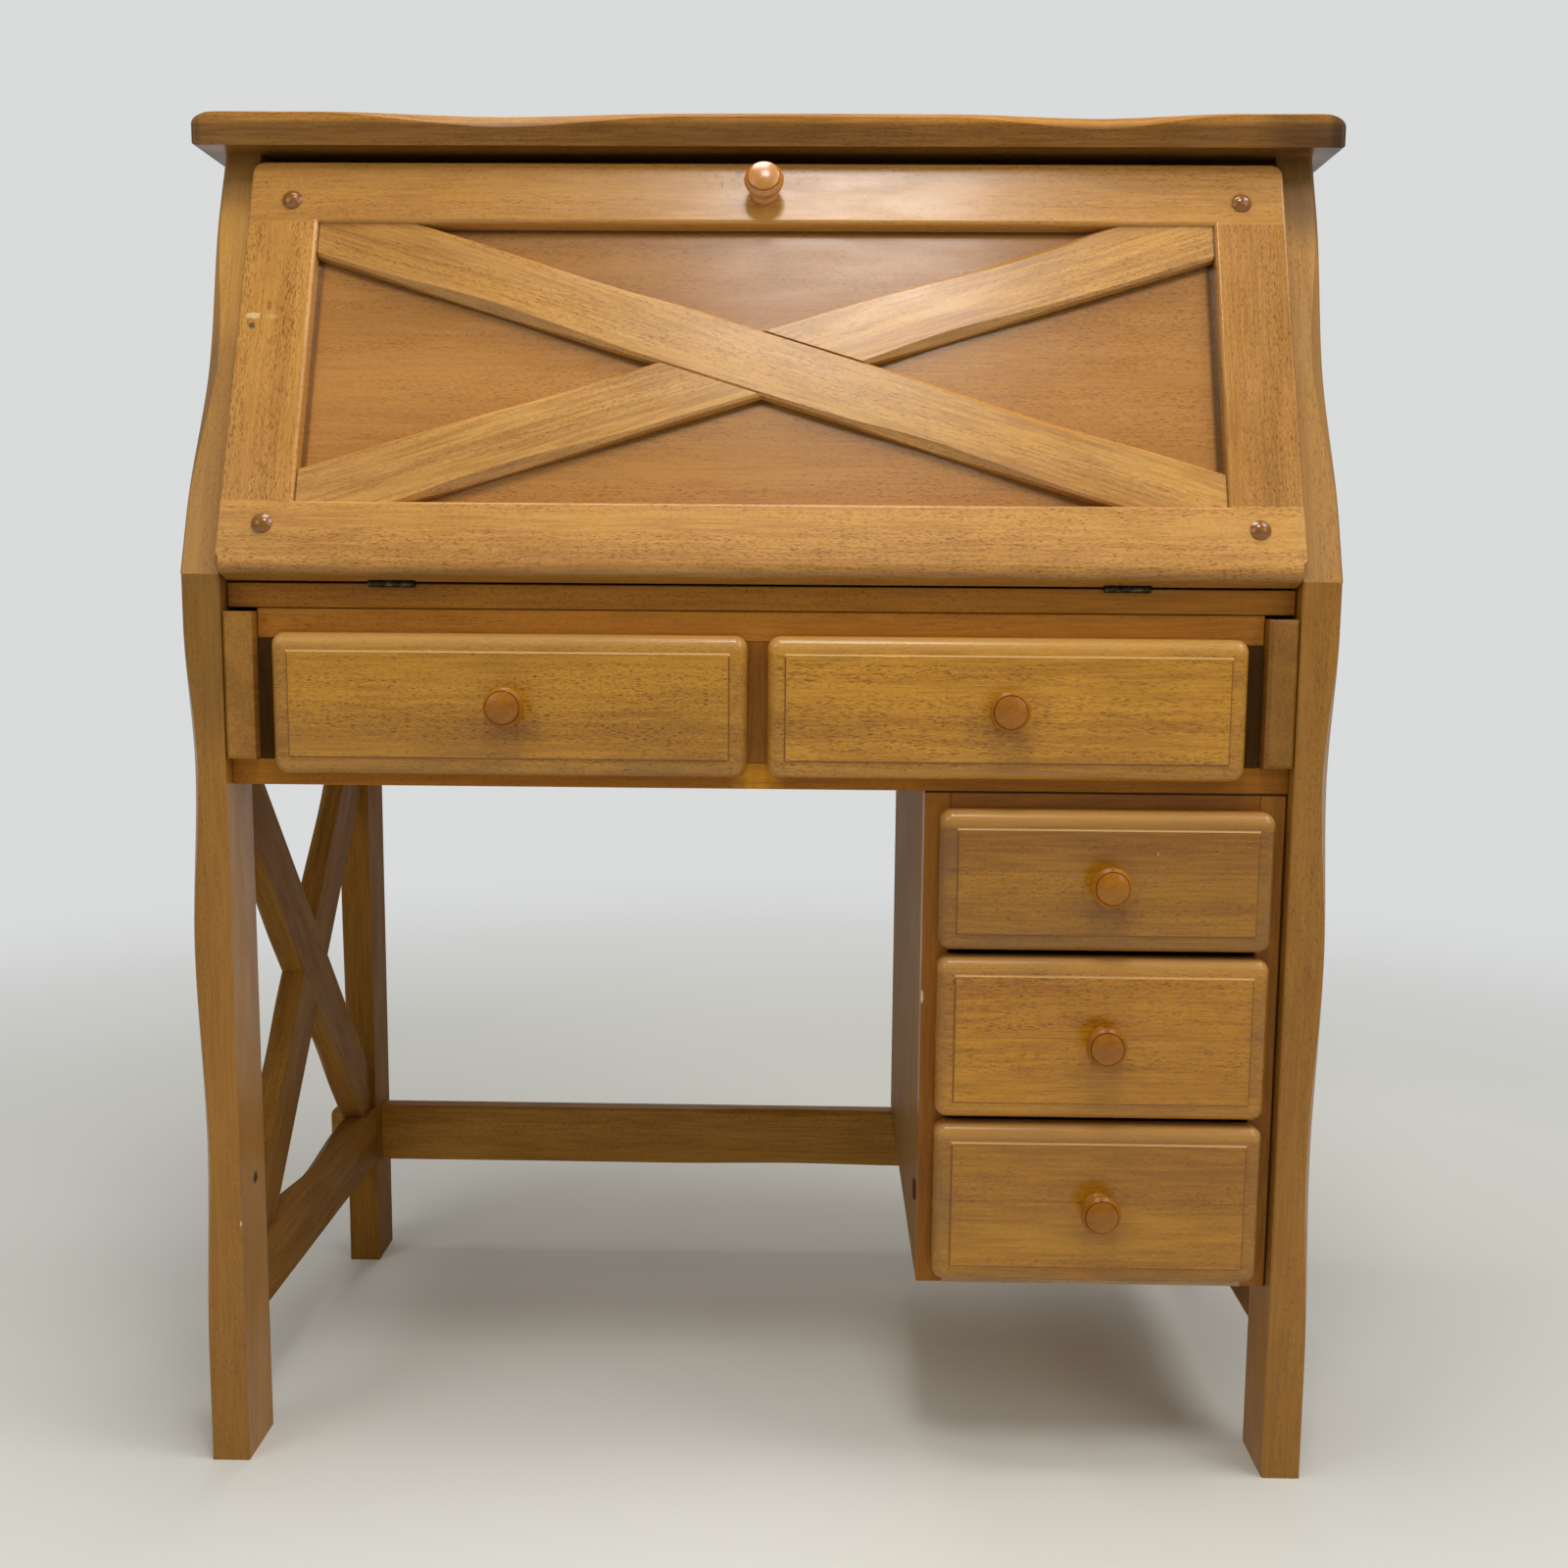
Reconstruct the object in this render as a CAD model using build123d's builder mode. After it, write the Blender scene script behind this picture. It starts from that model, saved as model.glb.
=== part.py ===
import os
from math import atan2, cos, hypot, radians, sin, tan

from build123d import *

# A slant-front writing bureau in hewn country style: two side frames with crossed braces, a drawer case
# with two wide drawers and two pull-out flap supports (lopers), a pedestal of three drawers on the right,
# and a writing space closed by a leaning flap on two hinges.
# Millimetres. X to the right, Y to the back, Z up. The origin is on the floor, under the middle of the piece.

# Side frames
case_inner_width = 839.0     # between the side frames
case_depth = 453.0           # front of the front legs to the back of the rear legs
leg_thickness = 31.0
front_leg_depth = 58.0
rear_leg_depth = 54.0
knee_height = 566.5          # floor to the underside of the drawer case
leg_rise = 6.2               # front legs above the writing surface
leg_ease = 1.2               # chamfer on the inner front arrises of the front legs
fixing_hole_diameter = 6.0   # blind holes in the front legs, by which the pedestal hangs at either side
fixing_hole_depth = 12.0
fixing_hole_setback = 37.0   # behind the front of the legs
fixing_hole_height = 232.0
writing_space = 353.0        # writing surface to the underside of the top board
slant = 20.35                # lean of the stiles and the flap, in degrees
side_panel_thickness = 12.0
side_panel_rebate = 8.0      # how far the side panels lap into the legs
side_rail_thickness = 25.0
middle_rail_height = 45.0
lower_rail_height = 59.0
lower_rail_clearance = 112.0  # floor to the lower rails
brace_width = 53.0
brace_thickness = 22.0
brace_setback = 5.0          # braces behind the inner faces of the legs

# Rear stretcher and back
stretcher_clearance = 104.5  # floor to the stretcher
stretcher_height = 60.5
stretcher_thickness = 18.0
stretcher_setback = 13.0     # behind it, to the back of the rear legs
tenon_thickness = 12.0
tenon_height = 53.0
tenon_reach = 25.0           # tenon ends outside the rear legs
tenon_round = 9.0
back_panel_thickness = 9.0
back_rebate = 8.0

# Top board
top_thickness = 26.5
top_overhang = 17.0          # past the legs on each side
top_setback = 100.0          # front edge behind the front of the legs
top_end_run = 22.0           # rounding of the upper end arrises, along the board
top_end_drop = 12.0          # and down its ends
top_corner_round = 4.0
top_lower_round = 4.0

# Writing board and drawer case
frame_setback = 14.5         # face of the front rails behind the front of the legs
desk_thickness = 20.0
desk_end_gap = 1.0
front_rail_depth = 22.0
drawer_top_rail_height = 23.5
drawer_bottom_rail_height = 21.0
drawer_bottom_rail_depth = 40.0
wide_opening_height = 95.5
centre_stile_width = 33.0
centre_web_thickness = 16.0
loper_guide_thickness = 23.0
case_bottom_thickness = 12.0
rail_ease = 0.8              # chamfer on the arrises of plain rails and stiles

# Lopers
loper_width = 23.0
loper_gap = 0.5
loper_back_gap = 44.0        # behind the lopers when they are in
loper_arris = 3.0
flap_rest_gap = 0.5          # loper tops under the open flap

# Flap
flap_thickness = 22.0
flap_head_gap = 8.7          # over the flap, under the top board
flap_foot_gap = 1.5          # hinge axis to the foot of the flap
flap_side_gap = 2.0          # flap to the stiles it closes between
flap_lip_overlap = 2.0       # lip over the stiles
flap_lip_gap = 0.6           # lip to the faces of the stiles
flap_lip_foot = 6.0          # start of the lip above the front of the legs, when the flap lies open
flap_stile_width = 58.0
flap_top_rail_height = 55.5
flap_bottom_rail_height = 58.5
flap_corner_round = 10.0
flap_arris = 3.0
flap_foot_round = 9.0
window_arris = 3.0
panel_recess = 12.0          # panel face behind the frame face
flap_panel_thickness = 7.0
panel_tongue = 8.0
diagonal_width = 53.5
diagonal_thickness = 9.0
plug_diameter = 16.0
plug_rise = 4.5
plug_rim = 1.0
plug_shank_diameter = 9.0
plug_shank_length = 12.0
plug_to_edge = 35.5          # plug centre to the flap's side edge
plug_to_seam = 19.5          # plug centre to the seam between rail and stile

# Butt hinges
hinge_inset = 132.5          # middle of a hinge to the side frame
hinge_length = 36.0
hinge_pin_ahead = 3.6        # hinge axis in front of the writing board
knuckle_diameter = 6.4
knuckle_gap = 0.4
knuckle_clearance = 0.5      # flap to the fixed knuckles
hinge_pin_diameter = 3.0
pin_running_gap = 0.08
leaf_depth = 22.0
leaf_thickness = 1.6

# Drawer fronts, boxes and knobs
front_plate_thickness = 17.5
front_field_rise = 1.5
front_field_inset = 14.0
front_field_ease = 0.6
front_gap = 0.5              # fronts to the frame behind them
front_corner_round = 10.0
front_arris_round = 9.0
wide_lap_side = 8.5          # overlay of the wide fronts on the frame
wide_lap_below = 10.5
wide_lap_above = 5.0
box_gap = 1.5                # drawer box to its opening, each side
slide_gap = 0.3              # drawer boxes above what they slide on
box_side_thickness = 12.0
box_bottom_thickness = 5.0
box_bottom_rise = 6.0        # bottom panel above the lower edge of the sides
wide_box_headroom = 13.5     # over the boxes of the wide drawers
box_back_gap = 30.0          # behind the drawer boxes
knob_length = 26.0
knob_diameter = 32.0
knob_face_diameter = 25.0
knob_neck_diameter = 19.0
knob_collar_diameter = 24.0
knob_collar_height = 3.0
knob_crown = 2.8             # rise of the domed face
knob_shoulder = 2.8          # from the rim up to the groove
knob_rim = 4.6               # thickness of the rim
knob_groove = 0.8            # width and depth of the groove around the face

# Pedestal
pedestal_width = 286.5
pedestal_drop = 12.0         # its underside below the top of the lower rails
pedestal_panel_thickness = 12.0
pedestal_stile_width = 21.0
pedestal_stile_depth = 20.0
pedestal_top_rail_height = 20.0
pedestal_bottom_thickness = 12.0
pedestal_back_thickness = 9.0
pedestal_back_inset = 6.0    # side panels short of the back of the rear legs
pedestal_lap = 9.3           # overlay of the pedestal fronts on the stiles
lowest_front_rise = 8.0
front_reveal = 5.5           # between one pedestal front and the next
upper_front_drop = 13.5      # uppermost front below the drawer case
upper_front_shortfall = 19.5  # uppermost front lower than the two under it
pedestal_box_rise = 18.0     # drawer box above the lower edge of its front
pedestal_box_drop = 14.0     # drawer box below the upper edge of its front
runner_width = 22.0
runner_height = 12.0
stretcher_notch_gap = 1.0

# Pigeonhole gallery
gallery_shelf_height = 150.0
gallery_depth = 194.0
gallery_board = 12.0
divider_housing = 4.0        # dividers let into the writing board

# Hewn arrises: pairs of a share of the length and the size of the chamfer there, on the face that shows.
# A run is how many times wider the chamfer is on the face behind.
leg_hewing = ((0.0, 0.5), (0.13, 0.6), (0.37, 6.9), (0.59, 1.4), (0.79, 9.2), (0.95, 2.2), (1.0, 2.2))
leg_hewing_run = 2.0
stile_hewing = ((0.0, 2.2), (0.14, 1.8), (0.5, 13.0), (0.85, 3.2), (1.0, 4.0))
stile_hewing_run = 1.25
rear_leg_hewing = ((0.0, 0.5), (0.15, 0.6), (0.4, 6.0), (0.72, 1.0), (0.9, 6.0), (1.0, 1.0))
top_hewing = (
    (0.0, 1.0), (0.11, 1.4), (0.27, 12.0), (0.43, 3.6), (0.54, 3.2),
    (0.66, 3.8), (0.79, 12.5), (0.91, 1.6), (1.0, 1.0),
)
top_hewing_run = 1.35
rail_hewing = ((0.0, 1.5), (0.16, 2.0), (0.5, 13.0), (0.84, 2.5), (1.0, 2.0))
stretcher_hewing = (
    (0.0, 1.5), (0.2, 2.2), (0.38, 1.5), (0.53, 6.0), (0.68, 2.0), (0.85, 4.5), (1.0, 2.0),
)
crossed_hewing = (
    (0.0, 2.0), (0.2, 2.2), (0.33, 6.0), (0.43, 2.2), (0.5, 2.0),
    (0.6, 2.2), (0.76, 6.8), (0.88, 2.2), (1.0, 2.0),
)

# Places worked out from the sizes
hewing_reach = leg_thickness
inner_x = case_inner_width / 2
outer_x = inner_x + leg_thickness
front_thickness = front_plate_thickness + front_field_rise
front_proud = front_thickness + front_gap - frame_setback
front_y = (front_proud + knob_length - case_depth) / 2
back_y = front_y + case_depth
frame_y = front_y + frame_setback
front_leg_back_y = front_y + front_leg_depth
rear_leg_front_y = back_y - rear_leg_depth
back_panel_y = back_y - back_panel_thickness
drawer_floor_z = knee_height + drawer_bottom_rail_height
drawer_ceiling_z = drawer_floor_z + wide_opening_height
desk_under_z = drawer_ceiling_z + drawer_top_rail_height
desk_top_z = desk_under_z + desk_thickness
leg_top_z = desk_top_z + leg_rise
top_under_z = desk_top_z + writing_space
middle_rail_top_z = knee_height + middle_rail_height
lower_rail_top_z = lower_rail_clearance + lower_rail_height
stile_run = (top_under_z - leg_top_z) * tan(radians(slant))
stretcher_top_z = stretcher_clearance + stretcher_height
stretcher_back_y = back_y - stretcher_setback
stretcher_front_y = stretcher_back_y - stretcher_thickness
guide_outer_x = inner_x - loper_width - 2 * loper_gap
guide_inner_x = guide_outer_x - loper_guide_thickness

hinge_x = inner_x - hinge_inset
lean_sin = sin(radians(slant))
lean_cos = cos(radians(slant))
pin_y = frame_y - hinge_pin_ahead
pin_z = desk_top_z
flap_plane = Plane(origin=(0, pin_y, pin_z), x_dir=(1, 0, 0), z_dir=(0, -lean_cos, lean_sin))
flap_up = Axis((0, pin_y, pin_z), (0, lean_sin, lean_cos))
flap_out = Axis((0, pin_y, pin_z), (0, -lean_cos, lean_sin))
flap_inside = (pin_y - front_y) * lean_cos + (leg_top_z - pin_z) * lean_sin
lip_depth = flap_inside + flap_lip_gap
flap_half = inner_x - flap_side_gap
lip_half = inner_x + flap_lip_overlap
flap_head = (writing_space - flap_head_gap - flap_thickness * lean_sin) / lean_cos
flap_height = flap_head - flap_foot_gap
lip_foot = pin_y - front_y + flap_lip_foot
window_half = lip_half - flap_stile_width
window_low = flap_foot_gap + flap_bottom_rail_height
window_high = flap_head - flap_top_rail_height
window_plane = flap_plane.offset(flap_thickness - panel_recess)

pedestal_clearance = lower_rail_top_z - pedestal_drop
pedestal_left_x = inner_x - pedestal_width
pedestal_inner_left_x = pedestal_left_x + pedestal_panel_thickness
pedestal_inner_right_x = inner_x - pedestal_panel_thickness
pedestal_open_left_x = pedestal_left_x + pedestal_stile_width
pedestal_open_right_x = inner_x - pedestal_stile_width
pedestal_floor_z = pedestal_clearance + pedestal_bottom_thickness
pedestal_back_y = stretcher_front_y - stretcher_notch_gap
pedestal_back_face_y = pedestal_back_y - pedestal_back_thickness


def board(x_span, y_span, z_span, ease=0.0):
    """A sawn board that fills three (low, high) spans, with its arrises eased where asked."""
    with BuildPart() as piece:
        with BuildSketch(Plane.XY.offset(z_span[0])):
            with Locations((sum(x_span) / 2, sum(y_span) / 2)):
                Rectangle(x_span[1] - x_span[0], y_span[1] - y_span[0])
        extrude(amount=z_span[1] - z_span[0])
        if ease > 0:
            chamfer(piece.edges(), ease)
    return piece.part


def other_hand(part):
    """The same piece for the left side frame."""
    with BuildPart() as piece:
        mirror(part, about=Plane.YZ)
    return piece.part


def group(*pieces):
    """Like pieces kept in one node, each still its own solid."""
    return Compound(children=list(pieces))


def hewing_cut(arris, across, back, length, hewing, run=1.0):
    """What the drawknife takes off one arris: across and back point from it into the two faces it parts."""
    into = (across * run + back).normalized()
    depth = run / hypot(run, 1)
    with BuildPart() as cut:
        with BuildSketch(Plane(arris.position, x_dir=arris.direction, z_dir=arris.direction.cross(into))):
            with BuildLine():
                wave = Spline(
                    [(share * length, size * depth) for share, size in hewing],
                    tangents=[(1, 0)] * len(hewing),
                )
                Polyline(
                    wave @ 1,
                    (length + hewing_reach, (wave @ 1).Y),
                    (length + hewing_reach, -hewing_reach),
                    (-hewing_reach, -hewing_reach),
                    (-hewing_reach, (wave @ 0).Y),
                    wave @ 0,
                )
            make_face()
        extrude(amount=hewing_reach, both=True)
    return cut.part


left_hand = Vector(-1, 0, 0)
backward = Vector(0, 1, 0)
upward = Vector(0, 0, 1)

# Front legs: square posts with a wavy hewn arris at the outer front, rebated behind for the side panel
front_arris = Axis((outer_x, front_y, 0), upward)
front_leg_cut = hewing_cut(front_arris, left_hand, backward, leg_top_z, leg_hewing, leg_hewing_run)
with BuildPart() as right_front_leg:
    with BuildSketch():
        with Locations((inner_x, front_y)):
            Rectangle(leg_thickness, front_leg_depth, align=(Align.MIN, Align.MIN))
    extrude(amount=leg_top_z)
    chamfer(right_front_leg.edges().filter_by(Axis.Z).group_by(Axis.X)[0].sort_by(Axis.Y)[0], leg_ease)
    add(front_leg_cut, mode=Mode.SUBTRACT)
    with BuildSketch(Plane.XY.offset(middle_rail_top_z)):
        with Locations((inner_x, front_leg_back_y)):
            Rectangle(side_panel_thickness, side_panel_rebate, align=(Align.MIN, Align.MAX))
    extrude(amount=leg_top_z - middle_rail_top_z, mode=Mode.SUBTRACT)
    with BuildSketch(Plane.YZ.offset(inner_x)):
        with Locations((front_y + fixing_hole_setback, fixing_hole_height)):
            Circle(fixing_hole_diameter / 2)
    extrude(amount=fixing_hole_depth, mode=Mode.SUBTRACT)

# Leaning stiles: the front legs carried on up to the top board, hewn and rebated alike
stile_arris = Axis((outer_x, front_y, leg_top_z), (0, lean_sin, lean_cos))
stile_length = (top_under_z - leg_top_z) / lean_cos
stile_cut = hewing_cut(
    stile_arris,
    left_hand,
    Vector(0, lean_cos, -lean_sin),
    stile_length,
    stile_hewing,
    stile_hewing_run,
)
with BuildPart() as right_slant_stile:
    with BuildSketch(Plane.YZ.offset(inner_x)):
        with BuildLine():
            Polyline(
                (front_y, leg_top_z),
                (front_leg_back_y, leg_top_z),
                (front_leg_back_y + stile_run, top_under_z),
                (front_y + stile_run, top_under_z),
                close=True,
            )
        make_face()
    extrude(amount=leg_thickness)
    add(stile_cut, mode=Mode.SUBTRACT)
    with BuildSketch(Plane.YZ.offset(inner_x)):
        with BuildLine():
            Polyline(
                (front_leg_back_y - side_panel_rebate, leg_top_z),
                (front_leg_back_y, leg_top_z),
                (front_leg_back_y + stile_run, top_under_z),
                (front_leg_back_y + stile_run - side_panel_rebate, top_under_z),
                close=True,
            )
        make_face()
    extrude(amount=side_panel_thickness, mode=Mode.SUBTRACT)

# Rear legs: full height posts, mortised through for the stretcher, rebated for the side and back panels
rear_arris = Axis((outer_x, rear_leg_front_y, 0), upward)
rear_leg_cut = hewing_cut(rear_arris, left_hand, backward, knee_height, rear_leg_hewing)
stretcher_middle_y = (stretcher_front_y + stretcher_back_y) / 2
stretcher_middle_z = stretcher_clearance + stretcher_height / 2
with BuildPart() as right_rear_leg:
    with BuildSketch():
        with Locations((inner_x, back_y)):
            Rectangle(leg_thickness, rear_leg_depth, align=(Align.MIN, Align.MAX))
    extrude(amount=top_under_z)
    with BuildSketch(Plane.XY.offset(middle_rail_top_z)):
        with Locations((inner_x, rear_leg_front_y)):
            Rectangle(side_panel_thickness, side_panel_rebate, align=(Align.MIN, Align.MIN))
    extrude(amount=top_under_z - middle_rail_top_z, mode=Mode.SUBTRACT)
    with BuildSketch(Plane.XY.offset(knee_height)):
        with Locations((inner_x, back_y)):
            Rectangle(back_rebate, back_panel_thickness, align=(Align.MIN, Align.MAX))
    extrude(amount=top_under_z - knee_height, mode=Mode.SUBTRACT)
    add(rear_leg_cut, mode=Mode.SUBTRACT)
    with BuildSketch(Plane.YZ.offset(inner_x)):
        with Locations((stretcher_middle_y, stretcher_middle_z)):
            Rectangle(tenon_thickness, tenon_height)
    extrude(amount=leg_thickness, mode=Mode.SUBTRACT)

# Top board: long rounded ends, the upper front arris hewn in long scoops
top_front_y = front_y + top_setback
top_half = outer_x + top_overhang
top_z = top_under_z + top_thickness
top_arris = Axis((-top_half, top_front_y, top_z), (1, 0, 0))
top_cut = hewing_cut(top_arris, -upward, backward, 2 * top_half, top_hewing, top_hewing_run)
with BuildPart() as top_board:
    with BuildSketch(Plane.XZ.offset(-back_y)):
        with BuildLine():
            lower_x = top_half - top_lower_round
            lower_end = CenterArc((lower_x, top_under_z + top_lower_round), top_lower_round, -90, 90)
            upper_end = EllipticalCenterArc(
                (top_half - top_end_run, top_z - top_end_drop), top_end_run, top_end_drop
            )
            Line((0, top_under_z), lower_end @ 0)
            Line(lower_end @ 1, upper_end @ 0)
            Line(upper_end @ 1, (0, top_z))
            mirror(about=Plane.YZ)
        make_face()
    extrude(amount=back_y - top_front_y)
    with BuildSketch(Plane.XY.offset(top_under_z)) as top_plan:
        with Locations((0, back_y)):
            Rectangle(2 * top_half, back_y - top_front_y, align=(Align.CENTER, Align.MAX))
        fillet(top_plan.vertices().group_by(Axis.Y)[0], top_corner_round)
    extrude(amount=top_thickness, mode=Mode.INTERSECT)
    add(top_cut, mode=Mode.SUBTRACT)

# Side panels: the closed upper part of the side frames, lapped into legs and stiles
with BuildPart() as right_side_panel:
    with BuildSketch(Plane.YZ.offset(inner_x)):
        with BuildLine():
            Polyline(
                (front_leg_back_y - side_panel_rebate, middle_rail_top_z),
                (front_leg_back_y - side_panel_rebate, leg_top_z),
                (front_leg_back_y - side_panel_rebate + stile_run, top_under_z),
                (rear_leg_front_y + side_panel_rebate, top_under_z),
                (rear_leg_front_y + side_panel_rebate, middle_rail_top_z),
                close=True,
            )
        make_face()
    extrude(amount=side_panel_thickness)

# Side rails: plain ones under the side panels, hewn ones near the floor
right_middle_rail = board(
    (inner_x, inner_x + side_rail_thickness),
    (front_leg_back_y, rear_leg_front_y),
    (knee_height, middle_rail_top_z),
)
side_rail_length = rear_leg_front_y - front_leg_back_y
lower_arris = Axis((inner_x + side_rail_thickness, front_leg_back_y, lower_rail_top_z), backward)
lower_rail_cut = hewing_cut(lower_arris, -upward, left_hand, side_rail_length, rail_hewing)
with BuildPart() as right_lower_rail:
    with BuildSketch(Plane.XY.offset(lower_rail_clearance)):
        with Locations((inner_x, front_leg_back_y)):
            Rectangle(side_rail_thickness, side_rail_length, align=(Align.MIN, Align.MIN))
    extrude(amount=lower_rail_height)
    add(lower_rail_cut, mode=Mode.SUBTRACT)


def hewn_strip(plane, length, width, thickness):
    """A board lying along the X of its plane, about its origin, with both front arrises hewn."""
    front = plane.offset(thickness)
    with BuildPart() as strip:
        with BuildSketch(plane):
            Rectangle(length, width)
        extrude(amount=thickness)
        for side in (-1, 1):
            start = front.from_local_coords(Vector(-side * length / 2, side * width / 2))
            arris = Axis(start, plane.x_dir * side)
            add(
                hewing_cut(arris, plane.y_dir * -side, -plane.z_dir, length, crossed_hewing),
                mode=Mode.SUBTRACT,
            )
    return strip.part


def turned(plane, angle):
    """The plane turned about its own normal."""
    x_dir = plane.x_dir * cos(angle) + plane.y_dir * sin(angle)
    return Plane(origin=plane.origin, x_dir=x_dir, z_dir=plane.z_dir)


def crossed_pair(plane, opening_width, opening_height, width, thickness, falling_in_front):
    """Two boards that cross an opening from corner to corner, halved into each other: the one that falls
    along the X of the plane, then the one that rises.

    The plane lies on their back faces with its origin in the middle of the opening."""
    angle = atan2(opening_height, opening_width)
    length = hypot(opening_width, opening_height) + 2 * width
    pair = []
    for turn, in_front in ((-angle, falling_in_front), (angle, not falling_in_front)):
        strip = hewn_strip(turned(plane, turn), length, width, thickness)
        lap_plane = turned(plane, -turn)
        if not in_front:
            lap_plane = lap_plane.offset(thickness / 2)
        with BuildPart() as crossing:
            add(strip)
            with BuildSketch(plane):
                Rectangle(opening_width, opening_height)
            extrude(amount=thickness, mode=Mode.INTERSECT)
            with BuildSketch(lap_plane):
                Rectangle(length, width)
            extrude(amount=thickness / 2, mode=Mode.SUBTRACT)
        pair.append(crossing.part)
    return pair


# Crossed braces of the side frames, between the legs, the middle rail and the lower rail
brace_plane = Plane(
    origin=(
        inner_x + brace_setback,
        (front_leg_back_y + rear_leg_front_y) / 2,
        (lower_rail_top_z + knee_height) / 2,
    ),
    x_dir=(0, 1, 0),
    z_dir=(1, 0, 0),
)
right_brace_falling, right_brace_rising = crossed_pair(
    brace_plane,
    side_rail_length,
    knee_height - lower_rail_top_z,
    brace_width,
    brace_thickness,
    falling_in_front=False,
)

# Rear stretcher: a hewn rail whose rounded tenons run right through the rear legs
stretcher_cuts = []
for edge_z, across in ((stretcher_top_z, -upward), (stretcher_clearance, upward)):
    stretcher_arris = Axis((-inner_x, stretcher_front_y, edge_z), (1, 0, 0))
    stretcher_cuts.append(
        hewing_cut(stretcher_arris, across, backward, case_inner_width, stretcher_hewing)
    )
with BuildPart() as rear_stretcher:
    with BuildSketch(Plane.XZ.offset(-stretcher_back_y)):
        with Locations((0, stretcher_middle_z)):
            Rectangle(case_inner_width, stretcher_height)
    extrude(amount=stretcher_thickness)
    add(stretcher_cuts, mode=Mode.SUBTRACT)
    tenon_plane = Plane.XZ.offset(-(stretcher_middle_y + tenon_thickness / 2))
    with BuildSketch(tenon_plane) as tenon_outline:
        with Locations((0, stretcher_middle_z)):
            Rectangle(2 * (outer_x + tenon_reach), tenon_height)
        fillet(tenon_outline.vertices(), tenon_round)
    extrude(amount=tenon_thickness)

# Back panel in the rebates of the rear legs
back_panel = board(
    (-inner_x - back_rebate, inner_x + back_rebate), (back_panel_y, back_y), (knee_height, top_under_z)
)

# Writing board, with a shallow gain for each hinge leaf and a housing for each pigeonhole divider
divider_x = case_inner_width / 6
with BuildPart() as desk_board:
    with BuildSketch(Plane.XY.offset(desk_under_z)):
        with Locations((0, frame_y)):
            Rectangle(2 * (inner_x - desk_end_gap), back_panel_y - frame_y, align=(Align.CENTER, Align.MIN))
    extrude(amount=desk_thickness)
    chamfer(desk_board.edges().group_by(Axis.Y)[0], rail_ease)
    with BuildSketch(Plane.XY.offset(desk_top_z - leaf_thickness)):
        with Locations((-hinge_x, frame_y), (hinge_x, frame_y)):
            Rectangle(hinge_length, leaf_depth, align=(Align.CENTER, Align.MIN))
    extrude(amount=leaf_thickness, mode=Mode.SUBTRACT)
    with BuildSketch(Plane.XY.offset(desk_top_z - divider_housing)):
        with Locations((-divider_x, back_panel_y), (divider_x, back_panel_y)):
            Rectangle(gallery_board, gallery_depth, align=(Align.CENTER, Align.MAX))
    extrude(amount=divider_housing, mode=Mode.SUBTRACT)

# Front rails of the drawer case
drawer_top_rail = board(
    (-guide_outer_x, guide_outer_x),
    (frame_y, frame_y + front_rail_depth),
    (drawer_ceiling_z, desk_under_z),
    rail_ease,
)
drawer_bottom_rail = board(
    (-inner_x, inner_x),
    (frame_y, frame_y + drawer_bottom_rail_depth),
    (knee_height, drawer_floor_z),
    rail_ease,
)
case_bottom = board(
    (-inner_x, inner_x),
    (frame_y + drawer_bottom_rail_depth, back_panel_y),
    (drawer_floor_z - case_bottom_thickness, drawer_floor_z),
)

# Centre divider: the stile between the wide drawers, with a thinner web running back from it
with BuildPart() as centre_divider:
    with BuildSketch(Plane.XY.offset(drawer_floor_z)):
        with Locations((0, frame_y)):
            Rectangle(centre_stile_width, front_rail_depth, align=(Align.CENTER, Align.MIN))
    extrude(amount=wide_opening_height)
    with BuildSketch(Plane.XY.offset(drawer_floor_z)):
        with Locations((0, frame_y + front_rail_depth)):
            Rectangle(
                centre_web_thickness,
                back_panel_y - frame_y - front_rail_depth,
                align=(Align.CENTER, Align.MIN),
            )
    extrude(amount=desk_under_z - drawer_floor_z)

# Loper guides: partitions between the lopers and the drawers, notched for the drawer top rail
with BuildPart() as right_loper_guide:
    with BuildSketch(Plane.YZ.offset(guide_inner_x)):
        with BuildLine():
            Polyline(
                (frame_y, drawer_floor_z),
                (back_panel_y, drawer_floor_z),
                (back_panel_y, desk_under_z),
                (frame_y + front_rail_depth, desk_under_z),
                (frame_y + front_rail_depth, drawer_ceiling_z),
                (frame_y, drawer_ceiling_z),
                close=True,
            )
        make_face()
    extrude(amount=loper_guide_thickness)

# Pedestal: a narrow drawer case hung under the right half, its sides notched over the stretcher
panel_front_y = frame_y + pedestal_stile_depth
panel_back_y = back_y - pedestal_back_inset
notch_top_z = stretcher_top_z + stretcher_notch_gap


def pedestal_panel(x_low):
    """One side of the pedestal."""
    with BuildPart() as piece:
        with BuildSketch(Plane.YZ.offset(x_low)):
            with BuildLine():
                Polyline(
                    (panel_front_y, pedestal_clearance),
                    (pedestal_back_y, pedestal_clearance),
                    (pedestal_back_y, notch_top_z),
                    (panel_back_y, notch_top_z),
                    (panel_back_y, knee_height),
                    (panel_front_y, knee_height),
                    close=True,
                )
            make_face()
        extrude(amount=pedestal_panel_thickness)
    return piece.part


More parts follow.
